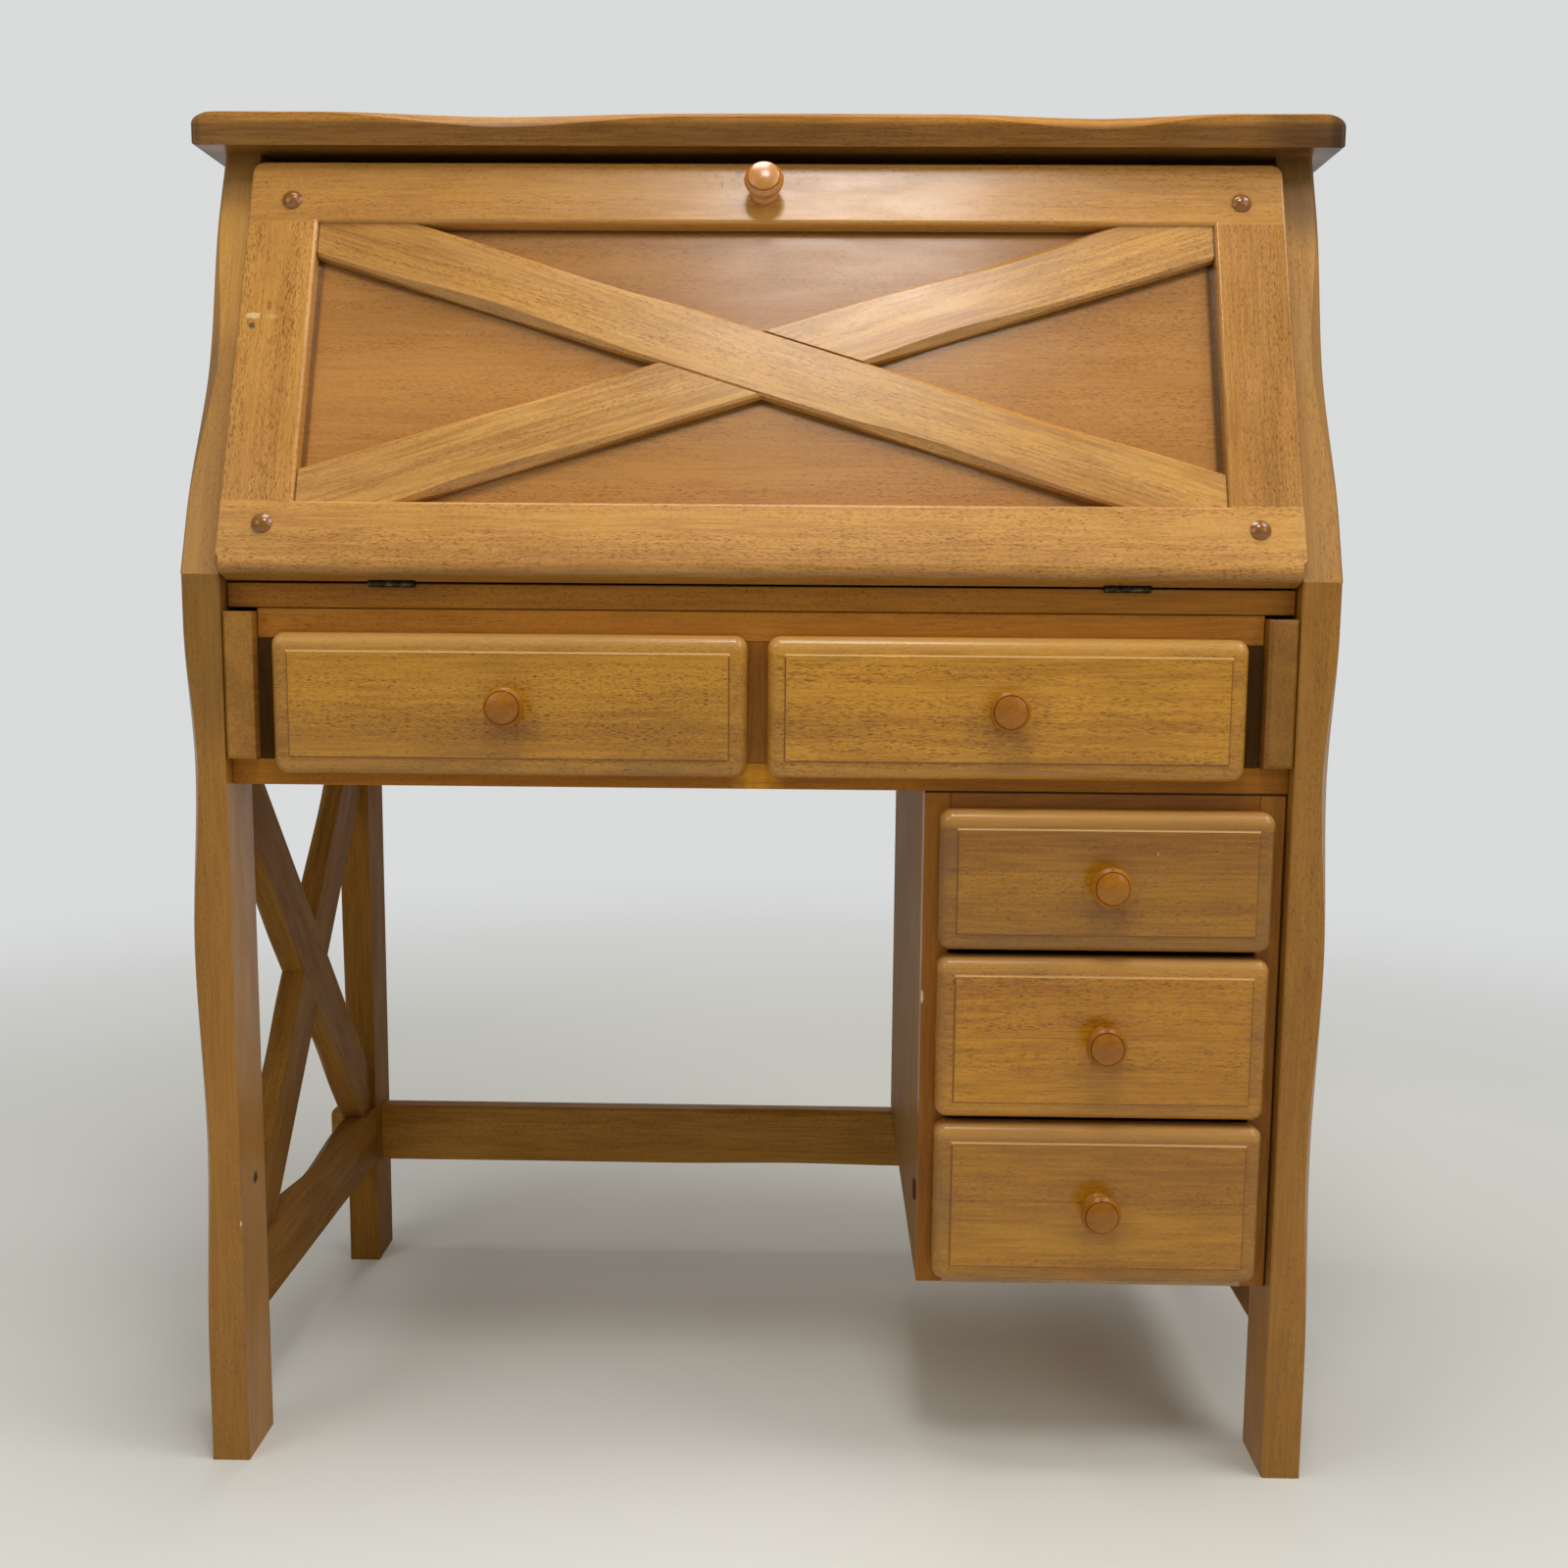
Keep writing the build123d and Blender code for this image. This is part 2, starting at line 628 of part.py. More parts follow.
pedestal_left_panel = pedestal_panel(pedestal_left_x)
pedestal_right_panel = pedestal_panel(pedestal_inner_right_x)
pedestal_stiles = group(
    board(
        (pedestal_left_x, pedestal_open_left_x),
        (frame_y, panel_front_y),
        (pedestal_clearance, knee_height),
        rail_ease,
    ),
    board(
        (pedestal_open_right_x, inner_x),
        (frame_y, panel_front_y),
        (pedestal_clearance, knee_height),
        rail_ease,
    ),
)
pedestal_top_rail = board(
    (pedestal_open_left_x, pedestal_open_right_x),
    (frame_y, panel_front_y),
    (knee_height - pedestal_top_rail_height, knee_height),
    rail_ease,
)
with BuildPart() as pedestal_bottom:
    with BuildSketch(Plane.XY.offset(pedestal_clearance)):
        with BuildLine():
            Polyline(
                (pedestal_open_left_x, frame_y),
                (pedestal_open_right_x, frame_y),
                (pedestal_open_right_x, panel_front_y),
                (pedestal_inner_right_x, panel_front_y),
                (pedestal_inner_right_x, pedestal_back_y),
                (pedestal_inner_left_x, pedestal_back_y),
                (pedestal_inner_left_x, panel_front_y),
                (pedestal_open_left_x, panel_front_y),
                close=True,
            )
        make_face()
    extrude(amount=pedestal_bottom_thickness)
pedestal_back = board(
    (pedestal_inner_left_x, pedestal_inner_right_x),
    (pedestal_back_face_y, pedestal_back_y),
    (pedestal_floor_z, knee_height),
)

# Pigeonhole gallery at the back of the writing space
shelf_z = desk_top_z + gallery_shelf_height
gallery_y = (back_panel_y - gallery_depth, back_panel_y)
divider_z = (desk_top_z - divider_housing, shelf_z)
gallery = group(
    board((-inner_x, inner_x), gallery_y, (shelf_z, shelf_z + gallery_board)),
    board((-divider_x - gallery_board / 2, -divider_x + gallery_board / 2), gallery_y, divider_z),
    board((divider_x - gallery_board / 2, divider_x + gallery_board / 2), gallery_y, divider_z),
)

# Butt hinges: the leaves on the writing board carry the outer knuckles, those on the flap the middle one
knuckle_length = (hinge_length - 2 * knuckle_gap) / 3
hinge_starts = [side * hinge_x - hinge_length / 2 for side in (-1, 1)]
barrel_room = knuckle_diameter / 2 + knuckle_gap


def hinge_leaf(start, leaf_plane, leaf_start, knuckle_starts, bore):
    """A leaf with its knuckles. Its plane has X along the hinge axis and Y across the leaf, away from it."""
    with BuildPart() as leaf:
        with BuildSketch(leaf_plane):
            with Locations((start, 0)):
                Rectangle(hinge_length, leaf_start + leaf_depth, align=(Align.MIN, Align.MIN))
        extrude(amount=leaf_thickness)
        with BuildSketch(Plane.YZ.offset(start - knuckle_gap)):
            with Locations((pin_y, pin_z)):
                Circle(barrel_room)
        extrude(amount=hinge_length + 2 * knuckle_gap, mode=Mode.SUBTRACT)
        for knuckle_start in knuckle_starts:
            with BuildSketch(leaf_plane):
                with Locations((knuckle_start, 0)):
                    Rectangle(knuckle_length, leaf_start + leaf_depth / 2, align=(Align.MIN, Align.MIN))
            extrude(amount=leaf_thickness)
            with BuildSketch(Plane.YZ.offset(knuckle_start)):
                with Locations((pin_y, pin_z)):
                    Circle(knuckle_diameter / 2)
            extrude(amount=knuckle_length)
        with BuildSketch(Plane.YZ.offset(start)):
            with Locations((pin_y, pin_z)):
                Circle(bore / 2)
        extrude(amount=hinge_length, mode=Mode.SUBTRACT)
    return leaf.part


desk_leaf_plane = Plane(origin=(0, pin_y, pin_z), x_dir=(1, 0, 0), z_dir=(0, 0, 1)).offset(-leaf_thickness)
desk_leaves = []
flap_leaves = []
hinge_pins = []
for start in hinge_starts:
    far_knuckle = start + 2 * (knuckle_length + knuckle_gap)
    middle_knuckle = start + knuckle_length + knuckle_gap
    desk_leaves.append(
        hinge_leaf(start, desk_leaf_plane, hinge_pin_ahead, (start, far_knuckle), hinge_pin_diameter)
    )
    flap_leaves.append(
        hinge_leaf(
            start, flap_plane, flap_foot_gap, (middle_knuckle,), hinge_pin_diameter + 2 * pin_running_gap
        )
    )
    with BuildPart() as hinge_pin:
        with BuildSketch(Plane.YZ.offset(start)):
            with Locations((pin_y, pin_z)):
                Circle(hinge_pin_diameter / 2)
        extrude(amount=hinge_length)
    hinge_pins.append(hinge_pin.part)

# Flap frame: made as one lipped and rounded frame on the leaning plane, then parted at its seams
plug_places = [
    (side * (lip_half - plug_to_edge), height)
    for side in (-1, 1)
    for height in (window_low - plug_to_seam, window_high + plug_to_seam)
]
with BuildPart() as flap_frame:
    with BuildSketch(flap_plane) as flap_body:
        with Locations((0, flap_foot_gap)):
            Rectangle(2 * flap_half, flap_height, align=(Align.CENTER, Align.MIN))
        fillet(flap_body.vertices().group_by(Axis.Y)[-1], flap_corner_round)
    extrude(amount=flap_thickness)
    with BuildSketch(flap_plane.offset(lip_depth)) as lip_outline:
        with BuildLine():
            Polyline(
                (flap_half, flap_foot_gap),
                (flap_half, lip_foot - flap_lip_overlap - flap_side_gap),
                (lip_half, lip_foot),
                (lip_half, flap_head),
                (-lip_half, flap_head),
                (-lip_half, lip_foot),
                (-flap_half, lip_foot - flap_lip_overlap - flap_side_gap),
                (-flap_half, flap_foot_gap),
                close=True,
            )
        make_face()
        fillet(lip_outline.vertices().group_by(Axis.Y)[-1], flap_corner_round)
    extrude(amount=flap_thickness - lip_depth)
    flap_face = flap_frame.faces().sort_by(flap_out)[-1]
    fillet(flap_face.edges().sort_by(flap_up)[0], flap_foot_round)
    flap_face = flap_frame.faces().sort_by(flap_out)[-1]
    lip_edges = [edge for edge in flap_face.edges() if flap_plane.to_local_coords(edge.center()).Y > lip_foot]
    fillet(lip_edges, flap_arris)
    with BuildSketch(flap_plane):
        with Locations((0, window_low)):
            Rectangle(2 * window_half, window_high - window_low, align=(Align.CENTER, Align.MIN))
    extrude(amount=flap_thickness, mode=Mode.SUBTRACT)
    flap_face = flap_frame.faces().sort_by(flap_out)[-1]
    fillet(flap_face.inner_wires()[0].edges(), window_arris)
    with BuildSketch(window_plane):
        with Locations((0, window_low - panel_tongue)):
            Rectangle(
                2 * (window_half + panel_tongue),
                window_high - window_low + 2 * panel_tongue,
                align=(Align.CENTER, Align.MIN),
            )
    extrude(amount=-flap_panel_thickness, mode=Mode.SUBTRACT)
    with BuildSketch(flap_plane.offset(flap_thickness)):
        with Locations(*plug_places):
            Circle(plug_shank_diameter / 2)
    extrude(amount=-plug_shank_length, mode=Mode.SUBTRACT)
    with BuildSketch(flap_plane):
        with Locations(*[(start, flap_foot_gap) for start in hinge_starts]):
            Rectangle(hinge_length, leaf_depth, align=(Align.MIN, Align.MIN))
    extrude(amount=leaf_thickness, mode=Mode.SUBTRACT)
    for start in hinge_starts:
        with BuildSketch(Plane.YZ.offset(start - knuckle_clearance)):
            with Locations((pin_y, pin_z)):
                Circle(knuckle_diameter / 2 + knuckle_clearance)
        extrude(amount=hinge_length + 2 * knuckle_clearance, mode=Mode.SUBTRACT)


def flap_member(x_span, height_span):
    """One rail or stile of the flap, parted from the frame at the seams."""
    with BuildPart() as piece:
        add(flap_frame.part)
        with BuildSketch(flap_plane):
            with Locations((sum(x_span) / 2, sum(height_span) / 2)):
                Rectangle(x_span[1] - x_span[0], height_span[1] - height_span[0])
        extrude(amount=flap_thickness, mode=Mode.INTERSECT)
    return piece.part


flap_bottom_rail = flap_member((-lip_half, lip_half), (0, window_low))
flap_top_rail = flap_member((-lip_half, lip_half), (window_high, flap_head))
flap_left_stile = flap_member((-lip_half, -window_half), (window_low, window_high))
flap_right_stile = flap_member((window_half, lip_half), (window_low, window_high))

with BuildPart() as flap_panel:
    with BuildSketch(window_plane):
        with Locations((0, window_low - panel_tongue)):
            Rectangle(
                2 * (window_half + panel_tongue),
                window_high - window_low + 2 * panel_tongue,
                align=(Align.CENTER, Align.MIN),
            )
    extrude(amount=-flap_panel_thickness)

flap_diagonal_falling, flap_diagonal_rising = crossed_pair(
    window_plane.shift_origin(window_plane.from_local_coords(Vector(0, (window_low + window_high) / 2, 0))),
    2 * window_half,
    window_high - window_low,
    diagonal_width,
    diagonal_thickness,
    falling_in_front=True,
)

# Domed plugs over the frame joints: a low cap on a shank
plugs = []
for place in plug_places:
    plug_plane = flap_plane.offset(flap_thickness).shift_origin(
        flap_plane.offset(flap_thickness).from_local_coords(Vector(*place, 0))
    )
    section = Plane(plug_plane.origin, x_dir=plug_plane.x_dir, z_dir=-plug_plane.y_dir)
    with BuildPart() as plug:
        with BuildSketch(section):
            with BuildLine():
                crown = TangentArc((0, plug_rise), (plug_diameter / 2, plug_rim), tangent=(1, 0))
                Polyline(crown @ 1, (plug_diameter / 2, 0), (0, 0), crown @ 0)
            make_face()
        revolve(axis=Axis(plug_plane.origin, plug_plane.z_dir))
        with BuildSketch(plug_plane):
            Circle(plug_shank_diameter / 2)
        extrude(amount=-plug_shank_length)
    plugs.append(plug.part)


def turned_knob(seat):
    """A mushroom knob: collar, waist, wide rim and a low domed face, standing on a seat plane."""
    section = Plane(seat.origin, x_dir=seat.x_dir, z_dir=-seat.y_dir)
    face_radius = knob_face_diameter / 2
    face_height = knob_length - knob_crown
    shoulder_height = face_height - knob_groove
    rim_height = shoulder_height - knob_shoulder
    lip_height = rim_height - knob_rim
    with BuildPart() as knob:
        with BuildSketch(section):
            with BuildLine():
                foot = Polyline(
                    (0, 0), (knob_collar_diameter / 2, 0), (knob_collar_diameter / 2, knob_collar_height)
                )
                waist = ThreePointArc(
                    foot @ 1,
                    (knob_neck_diameter / 2, (knob_collar_height + lip_height) / 2),
                    (knob_diameter / 2 - knob_groove, lip_height),
                )
                rim = ThreePointArc(
                    waist @ 1,
                    (knob_diameter / 2, (lip_height + rim_height) / 2),
                    (knob_diameter / 2 - knob_groove, rim_height),
                )
                shoulder = TangentArc(
                    rim @ 1, (face_radius + knob_groove, shoulder_height), tangent=rim % 1
                )
                groove = Polyline(
                    shoulder @ 1,
                    (face_radius, shoulder_height - knob_groove),
                    (face_radius, face_height),
                )
                crown = TangentArc((0, knob_length), groove @ 1, tangent=(1, 0))
                Line(crown @ 0, foot @ 0)
            make_face()
        revolve(axis=Axis(seat.origin, seat.z_dir))
    return knob.part


knob_seat = flap_plane.offset(flap_thickness)
flap_knob = turned_knob(
    knob_seat.shift_origin(knob_seat.from_local_coords(Vector(0, flap_head - flap_top_rail_height / 2, 0)))
)

# Lopers: thick boards that slide out beside the drawers to carry the open flap
loper_top_z = pin_z - flap_thickness - flap_rest_gap
with BuildPart() as right_loper:
    with BuildSketch(Plane.XZ.offset(-front_y)):
        with Locations((guide_outer_x + loper_gap, drawer_floor_z + loper_gap)):
            Rectangle(
                loper_width, loper_top_z - drawer_floor_z - loper_gap, align=(Align.MIN, Align.MIN)
            )
    extrude(amount=front_y + loper_back_gap - back_panel_y)
    chamfer(right_loper.faces().sort_by(Axis.Y)[0].edges(), loper_arris)

# Drawers: overlay fronts with a raised field, plain boxes and turned knobs
front_back_y = frame_y - front_gap


def drawer_front(x_span, z_span):
    """A front with rounded arrises and corners, and a raised field with its edge just eased."""
    middle = (sum(x_span) / 2, sum(z_span) / 2)
    width = x_span[1] - x_span[0]
    height = z_span[1] - z_span[0]
    with BuildPart() as front:
        with BuildSketch(Plane.XZ.offset(-front_back_y)):
            with Locations(middle):
                RectangleRounded(width, height, front_corner_round)
        extrude(amount=front_plate_thickness)
        fillet(front.faces().sort_by(Axis.Y)[0].edges(), front_arris_round)
        with BuildSketch(Plane.XZ.offset(-front_back_y + front_plate_thickness)):
            with Locations(middle):
                Rectangle(width - 2 * front_field_inset, height - 2 * front_field_inset)
        extrude(amount=front_field_rise)
        fillet(front.faces().sort_by(Axis.Y)[0].edges(), front_field_ease)
    return front.part


def drawer_box(x_span, z_span, wall_y):
    """Two sides, a back and a bottom, behind a front and short of the wall behind it."""
    y_span = (front_back_y, wall_y - box_back_gap)
    inside_x = (x_span[0] + box_side_thickness, x_span[1] - box_side_thickness)
    bottom_z = z_span[0] + box_bottom_rise
    inside_back_y = y_span[1] - box_side_thickness
    return group(
        board((x_span[0], inside_x[0]), y_span, z_span),
        board((inside_x[1], x_span[1]), y_span, z_span),
        board(inside_x, (inside_back_y, y_span[1]), z_span),
        board(inside_x, (y_span[0], inside_back_y), (bottom_z, bottom_z + box_bottom_thickness)),
    )


def drawer(name, front_x, front_z, box_x, box_z, wall_y):
    """The nodes of one drawer by name."""
    seat = Plane(
        origin=(sum(front_x) / 2, front_back_y - front_thickness, sum(front_z) / 2),
        x_dir=(1, 0, 0),
        z_dir=(0, -1, 0),
    )
    return {
        name + "_front": drawer_front(front_x, front_z),
        name + "_box": drawer_box(box_x, box_z, wall_y),
        name + "_knob": turned_knob(seat),
    }


drawers = {}
wide_front_z = (drawer_floor_z - wide_lap_below, drawer_ceiling_z + wide_lap_above)
wide_box_z = (drawer_floor_z + slide_gap, drawer_ceiling_z - wide_box_headroom)
for hand, side in (("left", -1), ("right", 1)):
    opening = sorted((side * centre_stile_width / 2, side * guide_inner_x))
    drawers |= drawer(
        hand + "_drawer",
        (opening[0] - wide_lap_side, opening[1] + wide_lap_side),
        wide_front_z,
        (opening[0] + box_gap, opening[1] - box_gap),
        wide_box_z,
        back_panel_y,
    )

runners = []
front_low_z = pedestal_clearance + lowest_front_rise
fronts_height = knee_height - upper_front_drop - front_low_z - 2 * front_reveal
deep_front_height = (fronts_height + upper_front_shortfall) / 3
pedestal_fronts = {
    "lower": deep_front_height,
    "middle": deep_front_height,
    "upper": deep_front_height - upper_front_shortfall,
}
for place, front_height in pedestal_fronts.items():
    box_low_z = front_low_z + pedestal_box_rise
    drawers |= drawer(
        place + "_drawer",
        (pedestal_open_left_x - pedestal_lap, pedestal_open_right_x + pedestal_lap),
        (front_low_z, front_low_z + front_height),
        (pedestal_open_left_x + box_gap, pedestal_open_right_x - box_gap),
        (box_low_z, front_low_z + front_height - pedestal_box_drop),
        pedestal_back_face_y,
    )
    runner_y = (panel_front_y, pedestal_back_face_y)
    runner_z = (box_low_z - slide_gap - runner_height, box_low_z - slide_gap)
    runners.append(
        board((pedestal_inner_left_x, pedestal_inner_left_x + runner_width), runner_y, runner_z)
    )
    runners.append(
        board((pedestal_inner_right_x - runner_width, pedestal_inner_right_x), runner_y, runner_z)
    )
    front_low_z += front_height + front_reveal

nodes = {
    "left_front_leg": other_hand(right_front_leg.part),
    "right_front_leg": right_front_leg.part,
    "left_rear_leg": other_hand(right_rear_leg.part),
    "right_rear_leg": right_rear_leg.part,
    "left_slant_stile": other_hand(right_slant_stile.part),
    "right_slant_stile": right_slant_stile.part,
    "top_board": top_board.part,
    "left_side_panel": other_hand(right_side_panel.part),
    "right_side_panel": right_side_panel.part,
    "side_middle_rails": group(right_middle_rail, other_hand(right_middle_rail)),
    "side_lower_rails": group(right_lower_rail.part, other_hand(right_lower_rail.part)),
    "left_brace_falling": other_hand(right_brace_falling),
    "left_brace_rising": other_hand(right_brace_rising),
    "right_brace_falling": right_brace_falling,
    "right_brace_rising": right_brace_rising,
    "rear_stretcher": rear_stretcher.part,
    "back_panel": back_panel,
    "desk_board": desk_board.part,
    "drawer_top_rail": drawer_top_rail,
    "drawer_bottom_rail": drawer_bottom_rail,
    "centre_divider": centre_divider.part,
    "loper_guides": group(right_loper_guide.part, other_hand(right_loper_guide.part)),
    "case_bottom": case_bottom,
    "pedestal_left_panel": pedestal_left_panel,
    "pedestal_right_panel": pedestal_right_panel,
    "pedestal_bottom": pedestal_bottom.part,
    "pedestal_back": pedestal_back,
    "pedestal_stiles": pedestal_stiles,
    "pedestal_top_rail": pedestal_top_rail,
    "pedestal_runners": group(*runners),
    "gallery": gallery,
    "desk_hinge_leaves": group(*desk_leaves),
    "hinge_pins": group(*hinge_pins),
    "flap_top_rail": flap_top_rail,
    "flap_bottom_rail": flap_bottom_rail,
    "flap_left_stile": flap_left_stile,
    "flap_right_stile": flap_right_stile,
    "flap_panel": flap_panel.part,
    "flap_diagonal_falling": flap_diagonal_falling,
    "flap_diagonal_rising": flap_diagonal_rising,
    "flap_plugs": group(*plugs),
    "flap_knob": flap_knob,
    "flap_hinge_leaves": group(*flap_leaves),
    "left_loper": other_hand(right_loper.part),
    "right_loper": right_loper.part,
    **drawers,
}

os.makedirs("parts", exist_ok=True)
for name, piece in nodes.items():
    piece.label = name
    export_step(piece, f"parts/{name}.step")
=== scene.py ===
from math import atan2, cos, pi, radians, sin

import bmesh
import bpy
from mathutils import Matrix, Vector


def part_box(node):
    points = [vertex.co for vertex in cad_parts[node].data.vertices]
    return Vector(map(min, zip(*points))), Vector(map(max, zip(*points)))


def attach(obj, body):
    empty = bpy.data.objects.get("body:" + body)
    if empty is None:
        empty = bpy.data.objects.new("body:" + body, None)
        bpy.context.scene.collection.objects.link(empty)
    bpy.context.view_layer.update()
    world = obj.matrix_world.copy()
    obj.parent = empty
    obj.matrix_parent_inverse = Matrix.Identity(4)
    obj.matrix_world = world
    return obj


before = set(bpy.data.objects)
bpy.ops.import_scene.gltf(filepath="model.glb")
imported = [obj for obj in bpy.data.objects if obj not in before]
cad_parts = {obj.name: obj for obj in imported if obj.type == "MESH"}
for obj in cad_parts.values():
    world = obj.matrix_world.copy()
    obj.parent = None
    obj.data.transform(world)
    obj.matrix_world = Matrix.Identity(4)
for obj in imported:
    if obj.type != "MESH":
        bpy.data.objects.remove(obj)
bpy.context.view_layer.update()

# Front legs: square posts of a fine-pored hardwood, stained honey brown and lacquered semi-gloss, their
# outer front arrises hewn with a drawknife and the grain running up the post. The left one has a chipped
# arris, a peg hole painted as a dark spot for the shade inside it, and painted shade over its upper
# part. All the wood of the desk is mixed from the same figure, set up here.


def add_node(tree, kind, inputs=None, **settings):
    """Adds a shader node; an input is a number, a colour or another node's output."""
    node = tree.nodes.new(kind)
    for name, value in settings.items():
        setattr(node, name, value)
    for name, value in (inputs or {}).items():
        if isinstance(value, bpy.types.NodeSocket):
            tree.links.new(value, node.inputs[name])
        else:
            node.inputs[name].default_value = value
    return node


def math(tree, operation, first, second=0.0, third=0.0):
    """Works out one number from up to three."""
    inputs = {0: first, 1: second, 2: third}
    return add_node(tree, "ShaderNodeMath", inputs, operation=operation).outputs[0]


def vector_math(tree, operation, first, second=(0.0, 0.0, 0.0)):
    """Works on one place or two; the first output is a place and the second a number."""
    inputs = {0: first, 1: second}
    return add_node(tree, "ShaderNodeVectorMath", inputs, operation=operation).outputs


def spread(tree, value, low, high, to_low=0.0, to_high=1.0):
    """Maps a span of values smoothly onto another."""
    inputs = {"Value": value, "From Min": low, "From Max": high, "To Min": to_low, "To Max": to_high}
    return add_node(tree, "ShaderNodeMapRange", inputs, interpolation_type="SMOOTHSTEP").outputs[0]


def streaks(tree, vector, along, across, detail, roughness=0.55, distortion=0.0):
    """Noise drawn out along the grain (local X); the sizes are counts to the metre."""
    inputs = {
        "Vector": vector_math(tree, "MULTIPLY", vector, (along, across, across))[0],
        "Scale": 1.0,
        "Detail": detail,
        "Roughness": roughness,
        "Distortion": distortion,
    }
    return add_node(tree, "ShaderNodeTexNoise", inputs).outputs[0]


def blend_colours(tree, factor, first, second, kind="MIX"):
    """Lays the second colour over the first as far as the factor says; 6, 7 and 2 are colour sockets."""
    inputs = {0: factor, 6: first, 7: second}
    return add_node(tree, "ShaderNodeMix", inputs, data_type="RGBA", blend_type=kind).outputs[2]


wood_figure = bpy.data.node_groups.new("wood figure", "ShaderNodeTree")
for way, socket, kind in (
    ("INPUT", "Vector", "NodeSocketVector"),
    ("INPUT", "Light", "NodeSocketColor"),
    ("INPUT", "Dark", "NodeSocketColor"),
    ("INPUT", "Porosity", "NodeSocketFloat"),
    ("OUTPUT", "Color", "NodeSocketColor"),
    ("OUTPUT", "Pores", "NodeSocketFloat"),
    ("OUTPUT", "Figure", "NodeSocketFloat"),
):
    wood_figure.interface.new_socket(socket, in_out=way, socket_type=kind)
figure_in = wood_figure.nodes.new("NodeGroupInput").outputs
grain = figure_in["Vector"]
bands = spread(wood_figure, streaks(wood_figure, grain, 1.5, 30.0, 3.0, 0.6, distortion=0.25), 0.3, 0.7)
hairs = spread(wood_figure, streaks(wood_figure, grain, 20.0, 420.0, 2.0), 0.32, 0.68)
ribbon = spread(wood_figure, streaks(wood_figure, grain, 6.0, 26.0, 2.0, distortion=0.5), 0.35, 0.7)
band_share, hair_share, ribbon_share = 0.38, 0.38, 0.24
figure_shade = math(wood_figure, "MULTIPLY", bands, band_share)
figure_shade = math(wood_figure, "MULTIPLY_ADD", hairs, hair_share, figure_shade)
figure_shade = math(wood_figure, "MULTIPLY_ADD", ribbon, ribbon_share, figure_shade)
figure_shade = spread(wood_figure, figure_shade, 0.06, 0.94)
figure_colour = blend_colours(wood_figure, figure_shade, figure_in["Light"], figure_in["Dark"])
flecks = spread(wood_figure, streaks(wood_figure, grain, 210.0, 1150.0, 1.0), 0.54, 0.68)
fine_flecks = spread(wood_figure, streaks(wood_figure, grain, 380.0, 2100.0, 0.0), 0.55, 0.7)
fine_share = 0.5
crowding = spread(wood_figure, streaks(wood_figure, grain, 3.0, 55.0, 2.0), 0.32, 0.62, 0.35, 1.0)
pores = math(wood_figure, "MULTIPLY_ADD", fine_flecks, fine_share, flecks)
pores = math(wood_figure, "MULTIPLY", pores, crowding)
pores = math(wood_figure, "MULTIPLY", pores, figure_in["Porosity"])
no_tint = (1.0, 1.0, 1.0, 1.0)
pore_shade = (0.45, 0.36, 0.28, 1.0)
pore_tint = blend_colours(wood_figure, pores, no_tint, pore_shade)
figure_colour = blend_colours(wood_figure, 1.0, figure_colour, pore_tint, "MULTIPLY")
figure_results = {"Color": figure_colour, "Pores": pores, "Figure": figure_shade}
add_node(wood_figure, "NodeGroupOutput", figure_results)

grain_along = (0.0, 0.0, 0.0)
grain_up = (0.0, pi / 2, 0.0)
grain_back = (0.0, 0.0, -pi / 2)
satin = (0.34, 0.48)
cut_step = (0.83, 0.37, 0.59)
cut_count = 0


def stained_wood(name, stain, turn=grain_along, porosity=0.6, sheen=satin, shine=0.3, marks=()):
    """Lacquered wood whose grain lies along X, turned as asked; each board is cut from its own place.

    The stain is the lightest and the darkest colour, the sheen the least and the greatest roughness.
    """
    global cut_count
    cut_count += 1
    light, dark = stain
    material = bpy.data.materials.new(name)
    material.use_nodes = True
    tree = material.node_tree
    tree.nodes.clear()
    place = add_node(tree, "ShaderNodeTexCoord").outputs["Object"]
    cut_from = tuple(step * cut_count for step in cut_step)
    turned = {"Vector": place, "Rotation": turn, "Location": cut_from}
    board = add_node(tree, "ShaderNodeMapping", turned).outputs[0]
    choices = {"Vector": board, "Light": (*light, 1.0), "Dark": (*dark, 1.0), "Porosity": porosity}
    figure = add_node(tree, "ShaderNodeGroup", choices, node_tree=wood_figure).outputs
    colour = figure["Color"]
    for mark in marks:
        colour = mark(tree, place, colour)
    gloss = spread(tree, streaks(tree, board, 14.0, 60.0, 3.0), 0.3, 0.7, *sheen)
    height = math(tree, "MULTIPLY_ADD", figure["Pores"], -0.7, figure["Figure"])
    relief = add_node(tree, "ShaderNodeBump", {"Strength": 0.06, "Distance": 0.0006, "Height": height})
    surface = {
        "Base Color": colour,
        "Roughness": gloss,
        "Normal": relief.outputs[0],
        "Specular IOR Level": shine,
        "Coat Weight": 0.33 * shine,
        "Coat Roughness": 0.15,
    }
    shader = add_node(tree, "ShaderNodeBsdfPrincipled", surface)
    add_node(tree, "ShaderNodeOutputMaterial", {"Surface": shader.outputs[0]})
    return material


def from_centre(tree, place, centre, reach):
    """How far a place is from the centre of a mark, in shares of its reach each way."""
    offset = vector_math(tree, "SUBTRACT", place, centre)[0]
    return vector_math(tree, "DIVIDE", offset, reach)[0]


def spot(centre, reach, tint, strength=1.0, kind="MULTIPLY", soft=0.6, ragged=0.8):
    """A worn, chipped or handled place, or a patch of painted light or shade: a round patch of another
    colour, reach metres each way.
    """

    def mark(tree, place, colour):
        share = from_centre(tree, place, centre, reach)
        distance = math(tree, "SUBTRACT", vector_math(tree, "LENGTH", share)[1], ragged / 2)
        distance = math(tree, "MULTIPLY_ADD", streaks(tree, share, 2.2, 2.2, 3.0), ragged, distance)
        cover = spread(tree, distance, 1.0 - soft, 1.0, strength, 0.0)
        return blend_colours(tree, cover, colour, (*tint, 1.0), kind)

    return mark


